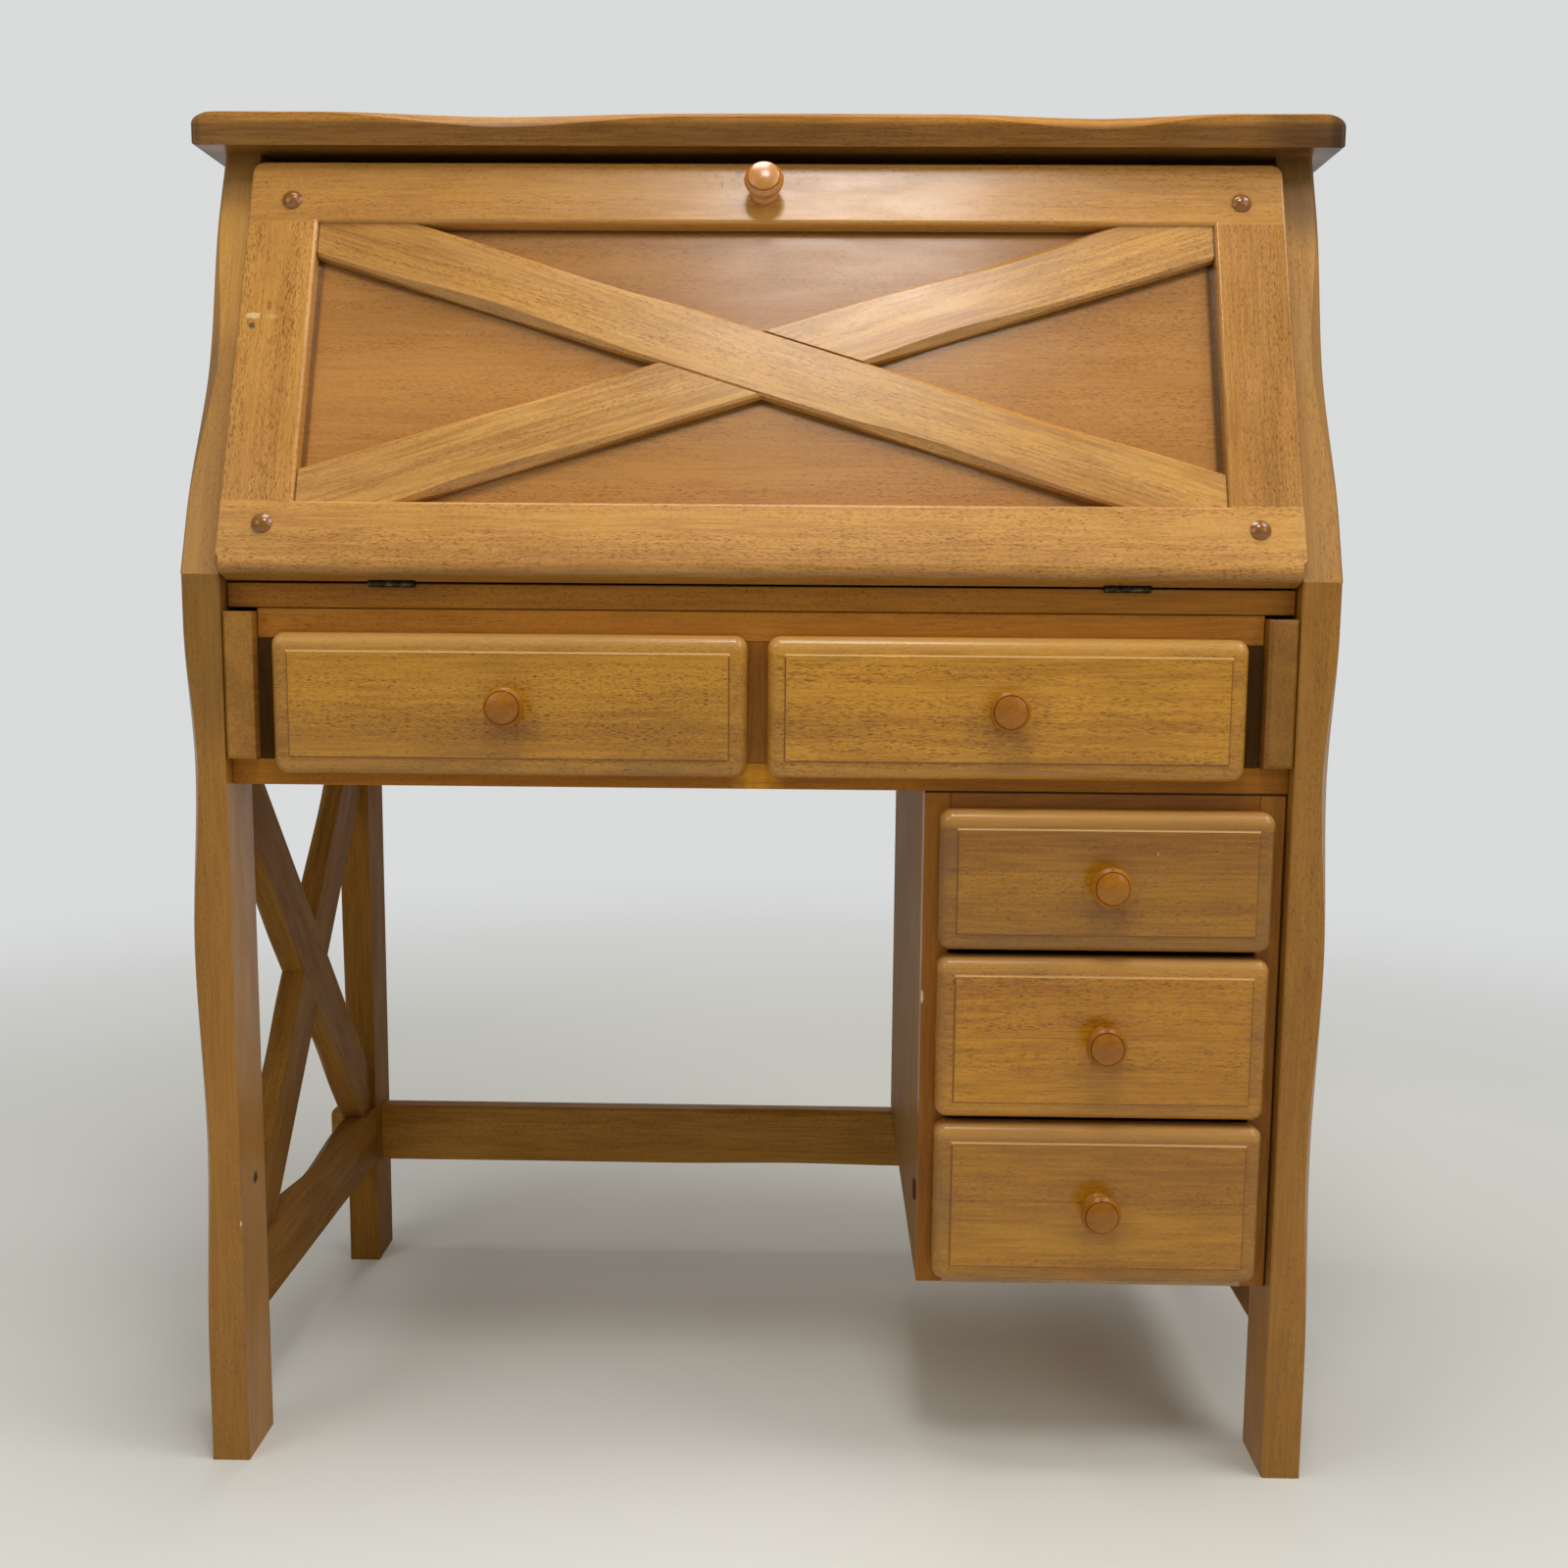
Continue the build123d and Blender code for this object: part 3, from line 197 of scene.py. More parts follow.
def band(centre, reach, tint, strength=1.0, kind="MULTIPLY"):
    """A straight band of another colour, reach metres each way and fading over its outer half."""

    def mark(tree, place, colour):
        share = from_centre(tree, place, centre, reach)
        away = vector_math(tree, "ABSOLUTE", share)[0]
        sides = add_node(tree, "ShaderNodeSeparateXYZ", {0: away}).outputs
        distance = math(tree, "MAXIMUM", math(tree, "MAXIMUM", sides[0], sides[1]), sides[2])
        cover = spread(tree, distance, 0.5, 1.0, strength, 0.0)
        return blend_colours(tree, cover, colour, (*tint, 1.0), kind)

    return mark


def finish_node(node, material):
    """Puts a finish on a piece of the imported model."""
    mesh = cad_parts[node].data
    mesh.materials.clear()
    mesh.materials.append(material)


def stain_node(node, stain, **board):
    """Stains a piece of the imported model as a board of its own."""
    finish_node(node, stained_wood(node, stain, **board))


leg_stain = ((0.415, 0.185, 0.024), (0.32, 0.138, 0.017))
bare_chip = (0.78, 0.56, 0.30)
hole_shade = (0.02, 0.011, 0.004)
leg_low, leg_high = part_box("left_front_leg")
leg_chip = (leg_high.x, leg_low.y, 0.2055)
peg_hole = (leg_high.x, -0.176, 0.232)
whole = 1.0  # the reach of a band that covers the desk right across
# On the left leg the band is painted shade over the upper part, and the dark spot is the painted shade
# inside the peg hole.
leg_marks = [
    band((0.0, 0.0, 0.70), (whole, whole, 0.13), (0.76, 0.78, 0.88)),
    spot(leg_chip, (0.0014, 0.0014, 0.0034), bare_chip, kind="MIX", soft=0.3),
    spot(peg_hole, (0.004, 0.0055, 0.0055), hole_shade, kind="MIX", soft=0.2, ragged=0.1),
]
stain_node("left_front_leg", leg_stain, turn=grain_up, porosity=0.5, marks=leg_marks)
stain_node("right_front_leg", leg_stain, turn=grain_up, porosity=0.5)

# Leaning stiles: the same posts carried on up to the top board, cut at the lean of the flap, so their
# grain leans back with them. Hewn and lacquered like the legs, with a paler stain. Painted shade darkens
# both up under the top board, and on the left one a band of painted light lies just below that.
lean = radians(20.35)
grain_leaning = (lean, pi / 2, 0.0)
slant_stain = ((0.465, 0.23, 0.053), (0.375, 0.18, 0.039))
slant_painted_light = {
    "left_slant_stile": [
        band((0.0, 0.0, 1.075), (whole, whole, 0.05), (0.72, 0.70, 0.66)),
        band((0.0, 0.0, 0.98), (whole, whole, 0.075), (1.3, 1.32, 1.2)),
    ],
    "right_slant_stile": [band((0.0, 0.0, 1.09), (whole, whole, 0.1), (0.46, 0.47, 0.52))],
}
for node, painted_bands in slant_painted_light.items():
    stain_node(node, slant_stain, turn=grain_leaning, porosity=0.5, marks=painted_bands)

# Rear legs, side rails and crossed braces: the open frame of each side, stained like the legs and a
# little darker. The braces' grain follows their length.
side_stain = ((0.285, 0.127, 0.018), (0.18, 0.076, 0.010))
matt = (0.5, 0.65)
for node in ("left_rear_leg", "right_rear_leg"):
    stain_node(node, side_stain, turn=grain_up, porosity=0.4, sheen=matt, shine=0.06)
for node in ("side_middle_rails", "side_lower_rails"):
    stain_node(node, side_stain, turn=grain_back, porosity=0.4, sheen=matt, shine=0.06)
brace_low, brace_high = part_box("left_brace_falling")
brace_slope = atan2(brace_high.z - brace_low.z, brace_high.y - brace_low.y)
for side in ("left", "right"):
    for run, slope in (("falling", -brace_slope), ("rising", brace_slope)):
        turn = (pi / 2 - slope, pi / 2, 0.0)
        stain_node(f"{side}_brace_{run}", side_stain, turn=turn, porosity=0.5, sheen=matt, shine=0.06)

# Rear stretcher: one hewn rail along the back, stained a little paler than the legs, with the grain along
# its length. Its round-cornered tenons pass right through the legs.
stretcher_stain = ((0.48, 0.23, 0.028), (0.31, 0.14, 0.016))
stain_node("rear_stretcher", stretcher_stain, shine=0.15)

# Side and back panels: veneered boards let into rebates of the legs, grain upright at the sides and
# along the back, with a thinner stain than the solid wood.
panel_stain = ((0.40, 0.17, 0.03), (0.28, 0.11, 0.018))
back_stain = ((0.46, 0.26, 0.10), (0.34, 0.18, 0.06))
for node in ("left_side_panel", "right_side_panel"):
    stain_node(node, panel_stain, turn=grain_up)
stain_node("back_panel", back_stain)

# Top board: a thick board with rounded ends and a front arris hewn in long scoops, grain along its length.
# It is stained dark and glossy and darkest on the end grain. Along the arris it is painted paler, partly
# for wear and partly as a painted highlight on the scoops that face up.
top_stain = ((0.27, 0.117, 0.02), (0.165, 0.068, 0.011))
glossy = (0.26, 0.38)
worn_and_lit_arris = (2.15, 2.2, 2.1)
end_grain = (0.5, 0.49, 0.56)
dark_corner = (0.58, 0.58, 0.68)
top_low, top_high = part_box("top_board")
top_marks = [
    band((0.0, top_low.y, top_high.z), (whole, 0.03, 0.011), worn_and_lit_arris, 0.9),
    band((top_high.x, 0.0, 0.0), (0.016, whole, 2 * whole), end_grain),
    band((top_low.x, 0.0, 0.0), (0.010, whole, 2 * whole), end_grain, 0.6),
    band((top_high.x, top_low.y, top_low.z), (0.08, 0.02, 0.034), dark_corner),
]
stain_node("top_board", top_stain, sheen=glossy, marks=top_marks)

# Writing board and the face frame of the drawer case: redder, darker stained rails behind the overlay
# fronts, with the case bottom, divider and loper guides glued in behind them. The loper guides are stained
# near black as painted shade in the narrow slots beside the lopers. A dark joint shows under the board,
# and the bottom rail has a patch of painted light between the two drawers.
joint_shade = (0.012, 0.007, 0.003)


def joint_or_shadow_line(centre, reach, strength):
    """A band of the dark that shows in a joint, or of painted shadow where one part shades another."""
    return band(centre, reach, joint_shade, strength, "MIX")


desk_stain = ((0.43, 0.165, 0.013), (0.30, 0.112, 0.008))
top_rail_stain = ((0.51, 0.195, 0.018), (0.36, 0.132, 0.011))
bottom_rail_stain = ((0.42, 0.155, 0.009), (0.30, 0.105, 0.005))
divider_stain = ((0.34, 0.125, 0.008), (0.24, 0.085, 0.005))
guide_painted_shade = ((0.085, 0.038, 0.009), (0.053, 0.023, 0.005))
bare_wood = ((0.56, 0.36, 0.17), (0.43, 0.26, 0.11))
board_low, board_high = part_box("desk_board")
board_joint = joint_or_shadow_line((0.0, board_low.y, board_low.z), (whole, 0.006, 0.0013), 0.85)
rail_low, rail_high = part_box("drawer_bottom_rail")
divider_low, divider_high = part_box("centre_divider")
rail_middle = ((divider_low.x + divider_high.x) / 2, rail_low.y, (rail_low.z + rail_high.z) / 2)
painted_light_patch = spot(rail_middle, (0.024, 0.05, 0.03), (1.5, 1.75, 1.5), soft=0.7, ragged=0.3)
stain_node("desk_board", desk_stain, shine=0.2, marks=[board_joint])
stain_node("drawer_top_rail", top_rail_stain, porosity=0.5, shine=0.2)
stain_node("drawer_bottom_rail", bottom_rail_stain, porosity=0.4, shine=0.15, marks=[painted_light_patch])
stain_node("centre_divider", divider_stain, turn=grain_up, porosity=0.4, shine=0.2)
stain_node("loper_guides", guide_painted_shade, turn=grain_up, porosity=0.4, sheen=matt, shine=0.03)
stain_node("case_bottom", bare_wood, sheen=matt)

# Pedestal: thin veneered sides, a face frame of narrow stiles and a top rail, a bottom, a back and bare
# wooden runners for the drawers. The left stile has lost a chip from its arris, the right one is paler,
# and dark joints show against the case above and the leg beside it.
pedestal_stain = ((0.34, 0.122, 0.009), (0.23, 0.078, 0.005))
veneer_stain = ((0.31, 0.152, 0.036), (0.255, 0.122, 0.028))
paler_stile = (1.32, 1.45, 2.2)
stile_low, stile_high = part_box("pedestal_stiles")
stile_chip = (stile_low.x, stile_low.y, 0.399)
top_joint = joint_or_shadow_line((0.0, 0.0, stile_high.z), (whole, whole, 0.0022), 0.9)
stile_marks = [
    band((stile_high.x, 0.0, 0.0), (0.06, whole, whole), paler_stile),
    spot(stile_chip, (0.0022, 0.0022, 0.0062), bare_chip, kind="MIX", soft=0.3),
    top_joint,
    joint_or_shadow_line((stile_high.x, 0.0, 0.0), (0.0024, whole, whole), 0.9),
]
stain_node("pedestal_stiles", pedestal_stain, turn=grain_up, porosity=0.3, shine=0.15, marks=stile_marks)
for node in ("pedestal_left_panel", "pedestal_right_panel"):
    stain_node(node, veneer_stain, turn=grain_up, porosity=0.1, sheen=matt, shine=0.04)
stain_node("pedestal_top_rail", pedestal_stain, porosity=0.3, shine=0.2, marks=[top_joint])
for node in ("pedestal_bottom", "pedestal_back"):
    stain_node(node, bare_wood, sheen=matt)
stain_node("pedestal_runners", bare_wood, turn=grain_back, sheen=matt)

# Pigeonhole gallery: a shelf on two upright dividers at the back of the writing space, stained like the
# panels.
stain_node("gallery", panel_stain)

# Flap: a frame of two long rails and two stiles round a thin panel, all on the lean. The rails run full
# width, the grain of the stiles follows the lean, and the panel is a redder veneer. The left stile has a
# scrape down to the bare wood and a burnt spot under it.
lacquered = (0.25, 0.34)
scratch = (0.55, 0.42, 0.34)
flap_top_stain = ((0.575, 0.275, 0.056), (0.44, 0.197, 0.037))
rail_marks = [
    spot((-0.0395, -0.1005, 1.0585), (0.0014, 0.003, 0.0045), scratch, 0.8, ragged=0.5),
    spot((-0.0348, -0.1030, 1.0515), (0.0012, 0.003, 0.0040), scratch, ragged=0.5),
    spot((-0.0300, -0.1065, 1.0420), (0.0012, 0.003, 0.0022), scratch, 0.7, ragged=0.5),
    spot((-0.0213, -0.0996, 1.0608), (0.0040, 0.004, 0.0032), scratch),
]
stain_node("flap_top_rail", flap_top_stain, sheen=lacquered, shine=0.42, marks=rail_marks)
flap_bottom_stain = ((0.67, 0.33, 0.069), (0.46, 0.204, 0.039))
foot_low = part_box("flap_bottom_rail")[0]
# The lower edge of the bottom rail, where its bevel faces down, is darkened as painted shade.
foot_shade = band((0.0, foot_low.y, foot_low.z), (whole, 0.05, 0.013), (0.62, 0.6, 0.5))
stain_node("flap_bottom_rail", flap_bottom_stain, porosity=0.8, shine=0.4, marks=[foot_shade])
flap_left_stain = ((0.625, 0.30, 0.06), (0.475, 0.213, 0.039))
flap_right_stain = ((0.51, 0.235, 0.044), (0.34, 0.145, 0.024))
scraped_wood = (0.76, 0.49, 0.21)
burnt_wood = (0.07, 0.045, 0.03)
left_marks = [
    spot((-0.4085, -0.1448, 0.9390), (0.0080, 0.006, 0.0032), scraped_wood, 0.95, "MIX", ragged=1.5),
    spot((-0.3935, -0.1450, 0.9382), (0.0065, 0.006, 0.0026), scraped_wood, 0.35, "MIX", ragged=1.3),
    spot((-0.3964, -0.1417, 0.9472), (0.0030, 0.006, 0.0056), scratch, 0.7),
    spot((-0.4090, -0.1478, 0.9308), (0.0036, 0.006, 0.0034), burnt_wood, 0.85, "MIX"),
]
for node, stain, marks in (
    ("flap_left_stile", flap_left_stain, left_marks),
    ("flap_right_stile", flap_right_stain, []),
):
    stain_node(node, stain, turn=grain_leaning, porosity=0.95, sheen=lacquered, shine=0.4, marks=marks)
flap_up = Vector((0.0, sin(lean), cos(lean)))
diagonal_low, diagonal_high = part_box("flap_diagonal_falling")
diagonal_rise = (diagonal_high.z - diagonal_low.z) / cos(lean)
diagonal_slope = atan2(diagonal_rise, diagonal_high.x - diagonal_low.x)
diagonal_half = 0.0285
crossing = (diagonal_low + diagonal_high) / 2


def shadow_below_board(slope):
    """A painted shadow on the panel along the lower edge of a crossed board."""
    upright = cos(slope) * flap_up - Vector((sin(slope), 0.0, 0.0))
    level = upright.dot(crossing) - diagonal_half

    def mark(tree, place, colour):
        along = vector_math(tree, "DOT_PRODUCT", place, upright)[1]
        away = math(tree, "ABSOLUTE", math(tree, "SUBTRACT", along, level))
        cover = spread(tree, away, 0.0, 0.008, 0.55, 0.0)
        return blend_colours(tree, cover, colour, (*joint_shade, 1.0))

    return mark


flap_panel_stain = ((0.515, 0.233, 0.052), (0.43, 0.188, 0.042))
stile_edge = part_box("flap_left_stile")[1].x
# The panel is painted darker over its upper part as shade under the top rail, with painted shadows below the
# crossed boards and along its edges under the top rail and beside the stiles.
panel_marks = [
    band((0.0, -0.115, 1.0), (0.5, 0.1, 0.11), (0.82, 0.81, 0.83)),
    shadow_below_board(diagonal_slope),
    shadow_below_board(-diagonal_slope),
    joint_or_shadow_line((0.0, -0.1075, 1.0175), (0.5, 0.008, 0.008), 0.7),
    joint_or_shadow_line((stile_edge, -0.15, 0.90), (0.006, 0.1, 0.2), 0.55),
    joint_or_shadow_line((-stile_edge, -0.15, 0.90), (0.008, 0.1, 0.2), 0.7),
]
stain_node("flap_panel", flap_panel_stain, sheen=lacquered, shine=0.32, marks=panel_marks)

# Crossed boards on the flap panel: two hewn boards from corner to corner, halved where they cross, the
# one that falls to the right lying over the other and stained deeper at its upper end.
crossed_stain = ((0.675, 0.348, 0.08), (0.425, 0.192, 0.04))
upper_end = spot((-0.36, -0.11, 1.0), (0.30, 0.3, 0.3), (0.76, 0.70, 0.56), soft=0.95, ragged=0.3)
end_joints = [
    joint_or_shadow_line((end, crossing.y, crossing.z), (0.0016, 0.4, 0.4), 0.7)
    for end in (diagonal_low.x, diagonal_high.x)
]
for node, slope, marks in (
    ("flap_diagonal_falling", -diagonal_slope, [upper_end, *end_joints]),
    ("flap_diagonal_rising", diagonal_slope, end_joints),
):
    turn = (lean, slope, 0.0)
    stain_node(node, crossed_stain, turn=turn, porosity=0.65, sheen=lacquered, shine=0.5, marks=marks)

# Plugs and knob of the flap: turned on the lathe, with the grain across the face. The plugs are stained
# dark, polished and glued into holes; the knob is orange-brown, lacquered and screwed on from behind.
plug_stain = ((0.31, 0.122, 0.02), (0.21, 0.077, 0.011))
knob_stain = ((0.56, 0.225, 0.036), (0.43, 0.16, 0.021))
turned_grain = (0.0, 0.6, 0.0)
polished = (0.1, 0.18)
stain_node("flap_plugs", plug_stain, turn=turned_grain, porosity=0.4, sheen=polished, shine=0.5)
stain_node("flap_knob", knob_stain, turn=turned_grain, porosity=0.4, sheen=lacquered, shine=0.8)

# Lopers: thick boards that slide out beside the drawers to carry the open flap. They are stained like the
# legs, with the grain running back, and lie loose between their guides. The left one is painted a little
# lighter and the right one darker, for the light and shade that fall on them.
lit_loper_stain = ((0.43, 0.195, 0.03), (0.29, 0.125, 0.018))
shaded_loper_stain = ((0.34, 0.148, 0.02), (0.23, 0.095, 0.012))
stain_node("left_loper", lit_loper_stain, turn=grain_back, porosity=0.5)
stain_node("right_loper", shaded_loper_stain, turn=grain_back, porosity=0.5)

# Drawers: solid fronts with a raised field and rounded edges, the narrow ones glued up from two boards,
# toned darker towards the edges with the spray gun and smudged where fingers reach for the knob. Behind
# them are plain pale boxes, and in the middle of each is a turned knob.
field_inset = 0.014
toner = (0.20, 0.09, 0.026, 1.0)
step_shadow = (0.25, 0.09, 0.006, 1.0)
step_highlight = (0.85, 0.57, 0.22, 1.0)
top_edge_highlight = (0.73, 0.40, 0.12, 1.0)


def edge_toning(node, strength):
    """Darkens the border of a drawer front unevenly, as a sprayed toner does, and draws its field.

    The toner is thinner towards the top as painted light. The step round the field is a thin line of
    painted highlight above and painted shadow elsewhere, and the rounded top edge has a painted highlight.
    """
    low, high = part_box(node)
    field_top = high.z - field_inset

    def mark(tree, place, colour):
        parts = add_node(tree, "ShaderNodeSeparateXYZ", {0: place}).outputs
        insets = []
        for axis in (0, 2):
            middle = (low[axis] + high[axis]) / 2
            offset = math(tree, "ABSOLUTE", math(tree, "SUBTRACT", parts[axis], middle))
            insets.append(math(tree, "SUBTRACT", (high[axis] - low[axis]) / 2, offset))
        inset = math(tree, "MINIMUM", *insets)
        height = parts[2]
        drift = math(tree, "SUBTRACT", streaks(tree, place, 14.0, 14.0, 2.0), 0.5)
        drifted = math(tree, "MULTIPLY_ADD", drift, 0.04, inset)
        border = spread(tree, drifted, 0.0, 0.022, strength, 0.0)
        thinner_where_lit = spread(tree, height, high.z - 0.035, high.z - 0.008, 1.0, 0.3)
        border = math(tree, "MULTIPLY", border, thinner_where_lit)
        colour = blend_colours(tree, border, colour, toner)
        away = math(tree, "ABSOLUTE", math(tree, "SUBTRACT", inset, field_inset))
        line = spread(tree, away, 0.0003, 0.001, 0.8, 0.0)
        above_field = spread(tree, height, field_top - 0.002, field_top - 0.001)
        step_light_and_shade = blend_colours(tree, above_field, step_shadow, step_highlight)
        colour = blend_colours(tree, line, colour, step_light_and_shade)
        highlight_share = spread(tree, height, high.z - 0.016, high.z - 0.003, 0.0, 0.6)
        return blend_colours(tree, highlight_share, colour, top_edge_highlight)

    return mark


darker_board = (0.92, 0.89, 0.88, 1.0)
seam_shade = (0.45, 0.36, 0.28, 1.0)


def glued_boards(seam):
    """A drawer front glued up from two boards: the upper one a little darker, with a hair line between."""

    def mark(tree, place, colour):
        height = add_node(tree, "ShaderNodeSeparateXYZ", {0: place}).outputs[2]
        upper = spread(tree, height, seam - 0.0006, seam + 0.0006)
        colour = blend_colours(tree, upper, colour, darker_board, "MULTIPLY")
        away = math(tree, "ABSOLUTE", math(tree, "SUBTRACT", height, seam))
        line = spread(tree, away, 0.0002, 0.0008, 0.4, 0.0)
        return blend_colours(tree, line, colour, seam_shade, "MULTIPLY")

    return mark


varnished = (0.21, 0.31)
finger_grease = (0.70, 0.64, 0.60)
turned_stain = ((0.45, 0.165, 0.010), (0.32, 0.11, 0.006))
wide_stain = ((0.605, 0.281, 0.024), (0.41, 0.174, 0.014))
narrow_stain = ((0.605, 0.263, 0.011), (0.40, 0.158, 0.006))
# For each drawer the stain, how light it came out, the porosity and the strength of the toning.
drawers = {
    "left": (wide_stain, 1.03, 1.0, 0.35),
    "right": (wide_stain, 1.12, 0.9, 0.25),
    "upper": (narrow_stain, 0.78, 0.7, 0.55),
    "middle": (narrow_stain, 1.11, 0.8, 0.42),
    "lower": (narrow_stain, 0.92, 0.7, 0.45),
}
drawer_seams = {"upper": 0.5058, "middle": 0.3714, "lower": 0.236}
drawer_nicks = {
    "left": spot((-0.2549, -0.216, 0.6748), (0.0017, 0.002, 0.0017), bare_chip, kind="MIX", soft=0.4),
    "upper": spot((0.3149, -0.216, 0.5206), (0.0010, 0.002, 0.0022), bare_chip, 0.4, "MIX"),
}
for drawer, (stain, lightness, porosity, toning) in drawers.items():
    front = f"{drawer}_drawer_front"
    knob = f"{drawer}_drawer_knob"
    knob_low, knob_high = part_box(knob)
    below_knob = ((knob_low.x + knob_high.x) / 2 + 0.006, knob_high.y, knob_low.z - 0.004)
    marks = [edge_toning(front, toning), spot(below_knob, (0.03, 0.03, 0.02), finger_grease, 0.8, soft=0.9)]
    if drawer in drawer_seams:
        marks.append(glued_boards(drawer_seams[drawer]))
    if drawer in drawer_nicks:
        marks.append(drawer_nicks[drawer])
    front_stain = [tuple(lightness * part for part in colour) for colour in stain]
    stain_node(front, front_stain, porosity=porosity, sheen=varnished, shine=0.45, marks=marks)
    stain_node(knob, turned_stain, turn=turned_grain, porosity=0.4, sheen=lacquered)
    stain_node(f"{drawer}_drawer_box", bare_wood, turn=grain_back, sheen=matt)

# Butt hinges: brass leaves bronzed dark, let in flush between the writing board and the flap. Their
# knuckles turn on a separate pin, and the bronzing is worn in places.
hinge_brass = bpy.data.materials.new("hinge_brass")
hinge_brass.use_nodes = True
hinge_tree = hinge_brass.node_tree
hinge_shader = hinge_tree.nodes["Principled BSDF"].inputs
hinge_place = add_node(hinge_tree, "ShaderNodeTexCoord").outputs["Object"]
bronzed = (0.035, 0.026, 0.016, 1.0)
worn_brass = (0.17, 0.115, 0.055, 1.0)
hinge_wear = spread(hinge_tree, streaks(hinge_tree, hinge_place, 160.0, 160.0, 4.0), 0.45, 0.75)
hinge_colour = blend_colours(hinge_tree, hinge_wear, bronzed, worn_brass)
hinge_gloss = spread(hinge_tree, streaks(hinge_tree, hinge_place, 300.0, 300.0, 2.0), 0.3, 0.7, 0.28, 0.5)
hinge_tree.links.new(hinge_colour, hinge_shader["Base Color"])
hinge_tree.links.new(hinge_gloss, hinge_shader["Roughness"])
hinge_shader["Metallic"].default_value = 1.0
for node in ("desk_hinge_leaves", "hinge_pins", "flap_hinge_leaves"):
    finish_node(node, hinge_brass)

# Screws: brass cross-recess heads, three to each hinge leaf and one behind each knob, bronzed like the
# hinges. One head is modelled, facing up at the origin, and copied to every place.


def start_piece():
    """Leaves nothing selected before a new piece is started."""
    bpy.ops.object.select_all(action="DESELECT")


def select_faces(piece, wanted):
    """Selects the faces of the piece in edit mode that the test wants."""
    shape = bmesh.from_edit_mesh(piece.data)
    for face in shape.faces:
        face.select_set(wanted(face.calc_center_median(), face.normal))
    bmesh.update_edit_mesh(piece.data)


def faces_up(centre, normal):
    """Tells whether a face looks upward, wherever it is."""
    return normal.z > 0.9


head_radius, head_depth, head_rim, head_crown = 0.0031, 0.0012, 0.0009, 0.00035
recess_half, recess_reach, recess_depth = 0.0004, 0.0017, 0.0007
start_piece()
bpy.ops.mesh.primitive_cylinder_add(vertices=28, radius=head_radius, depth=head_depth)
head = bpy.context.object
bpy.ops.object.mode_set(mode="EDIT")
bpy.ops.mesh.select_mode(type="FACE")
select_faces(head, faces_up)
bpy.ops.mesh.inset(thickness=head_rim, depth=head_crown)
for side in (-1.0, 1.0):
    for cut in (recess_half, recess_reach):
        for normal in ((1.0, 0.0, 0.0), (0.0, 1.0, 0.0)):
            bpy.ops.mesh.select_all(action="SELECT")
            bpy.ops.mesh.bisect(plane_co=tuple(side * cut * part for part in normal), plane_no=normal)


def in_recess(centre, normal):
    """Tells whether a face lies in the cross on top of the head."""
    near, far = sorted((abs(centre.x), abs(centre.y)))
    in_cross = near < recess_half and far < recess_reach
    return faces_up(centre, normal) and centre.z > head_depth / 2 and in_cross


select_faces(head, in_recess)
bpy.ops.mesh.extrude_region_move(TRANSFORM_OT_translate={"value": (0.0, 0.0, -recess_depth)})
bpy.ops.object.mode_set(mode="OBJECT")
first_turn, next_turn = 0.7, 1.3


def drive_screws(name, body, places, turn, scale=1.0):
    """Copies the screw head to each place, turned about X and to its own angle, as one piece on the body."""
    start_piece()
    for number, place in enumerate(places):
        copy = bpy.data.objects.new(f"{name}_{number}", head.data.copy())
        bpy.context.scene.collection.objects.link(copy)
        spin = Matrix.Rotation(first_turn + next_turn * number, 4, "Z") @ Matrix.Scale(scale, 4)
        copy.data.transform(Matrix.Translation(place) @ Matrix.Rotation(turn, 4, "X") @ spin)
        copy.select_set(True)
        bpy.context.view_layer.objects.active = copy
    if len(places) > 1:
        bpy.ops.object.join()
    screws = bpy.context.object
    screws.name = name
    screws.data.materials.clear()
    screws.data.materials.append(hinge_brass)
    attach(screws, body)


leaf_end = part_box("desk_hinge_leaves")[1].x
leaf_length, screw_pitch, screw_sink = 0.036, 0.012, 0.0004
row = [side * (leaf_end - leaf_length / 2) + step * screw_pitch for side in (-1, 1) for step in (-1, 0, 1)]
pin_low, pin_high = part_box("hinge_pins")
pin = (pin_low + pin_high) / 2
to_board_row, to_flap_row = 0.0150, 0.0145
board_screws = [Vector((x, pin.y + to_board_row, board_high.z - screw_sink)) for x in row]
drive_screws("board_hinge_screws", "carcass", board_screws, 0.0)
flap_in = Vector((0.0, cos(lean), -sin(lean)))
flap_turn = -(pi / 2 + lean)
flap_screws = [Vector((x, pin.y, pin.z)) + to_flap_row * flap_up - screw_sink * flap_in for x in row]
drive_screws("flap_hinge_screws", "flap", flap_screws, flap_turn)
knob_screw_scale, knob_screw_rise = 1.35, 0.0004
knob_low, knob_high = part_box("flap_knob")
knob_middle = Vector((0.0, *((knob_low + knob_high) / 2)[1:]))
knob_behind = knob_middle + (Vector((0.0, pin.y, pin.z)) - knob_middle).dot(flap_in) * flap_in
knob_screw = knob_behind + knob_screw_rise * flap_in
drive_screws("flap_knob_screw", "flap", [knob_screw], flap_turn, knob_screw_scale)
for drawer in drawers:
    knob_low, knob_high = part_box(f"{drawer}_drawer_knob")
    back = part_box(f"{drawer}_drawer_front")[1].y + knob_screw_rise
    knob_screw = Vector(((knob_low.x + knob_high.x) / 2, back, (knob_low.z + knob_high.z) / 2))
    drive_screws(f"{drawer}_knob_screw", f"{drawer}_drawer", [knob_screw], -pi / 2, knob_screw_scale)
bpy.data.objects.remove(head)

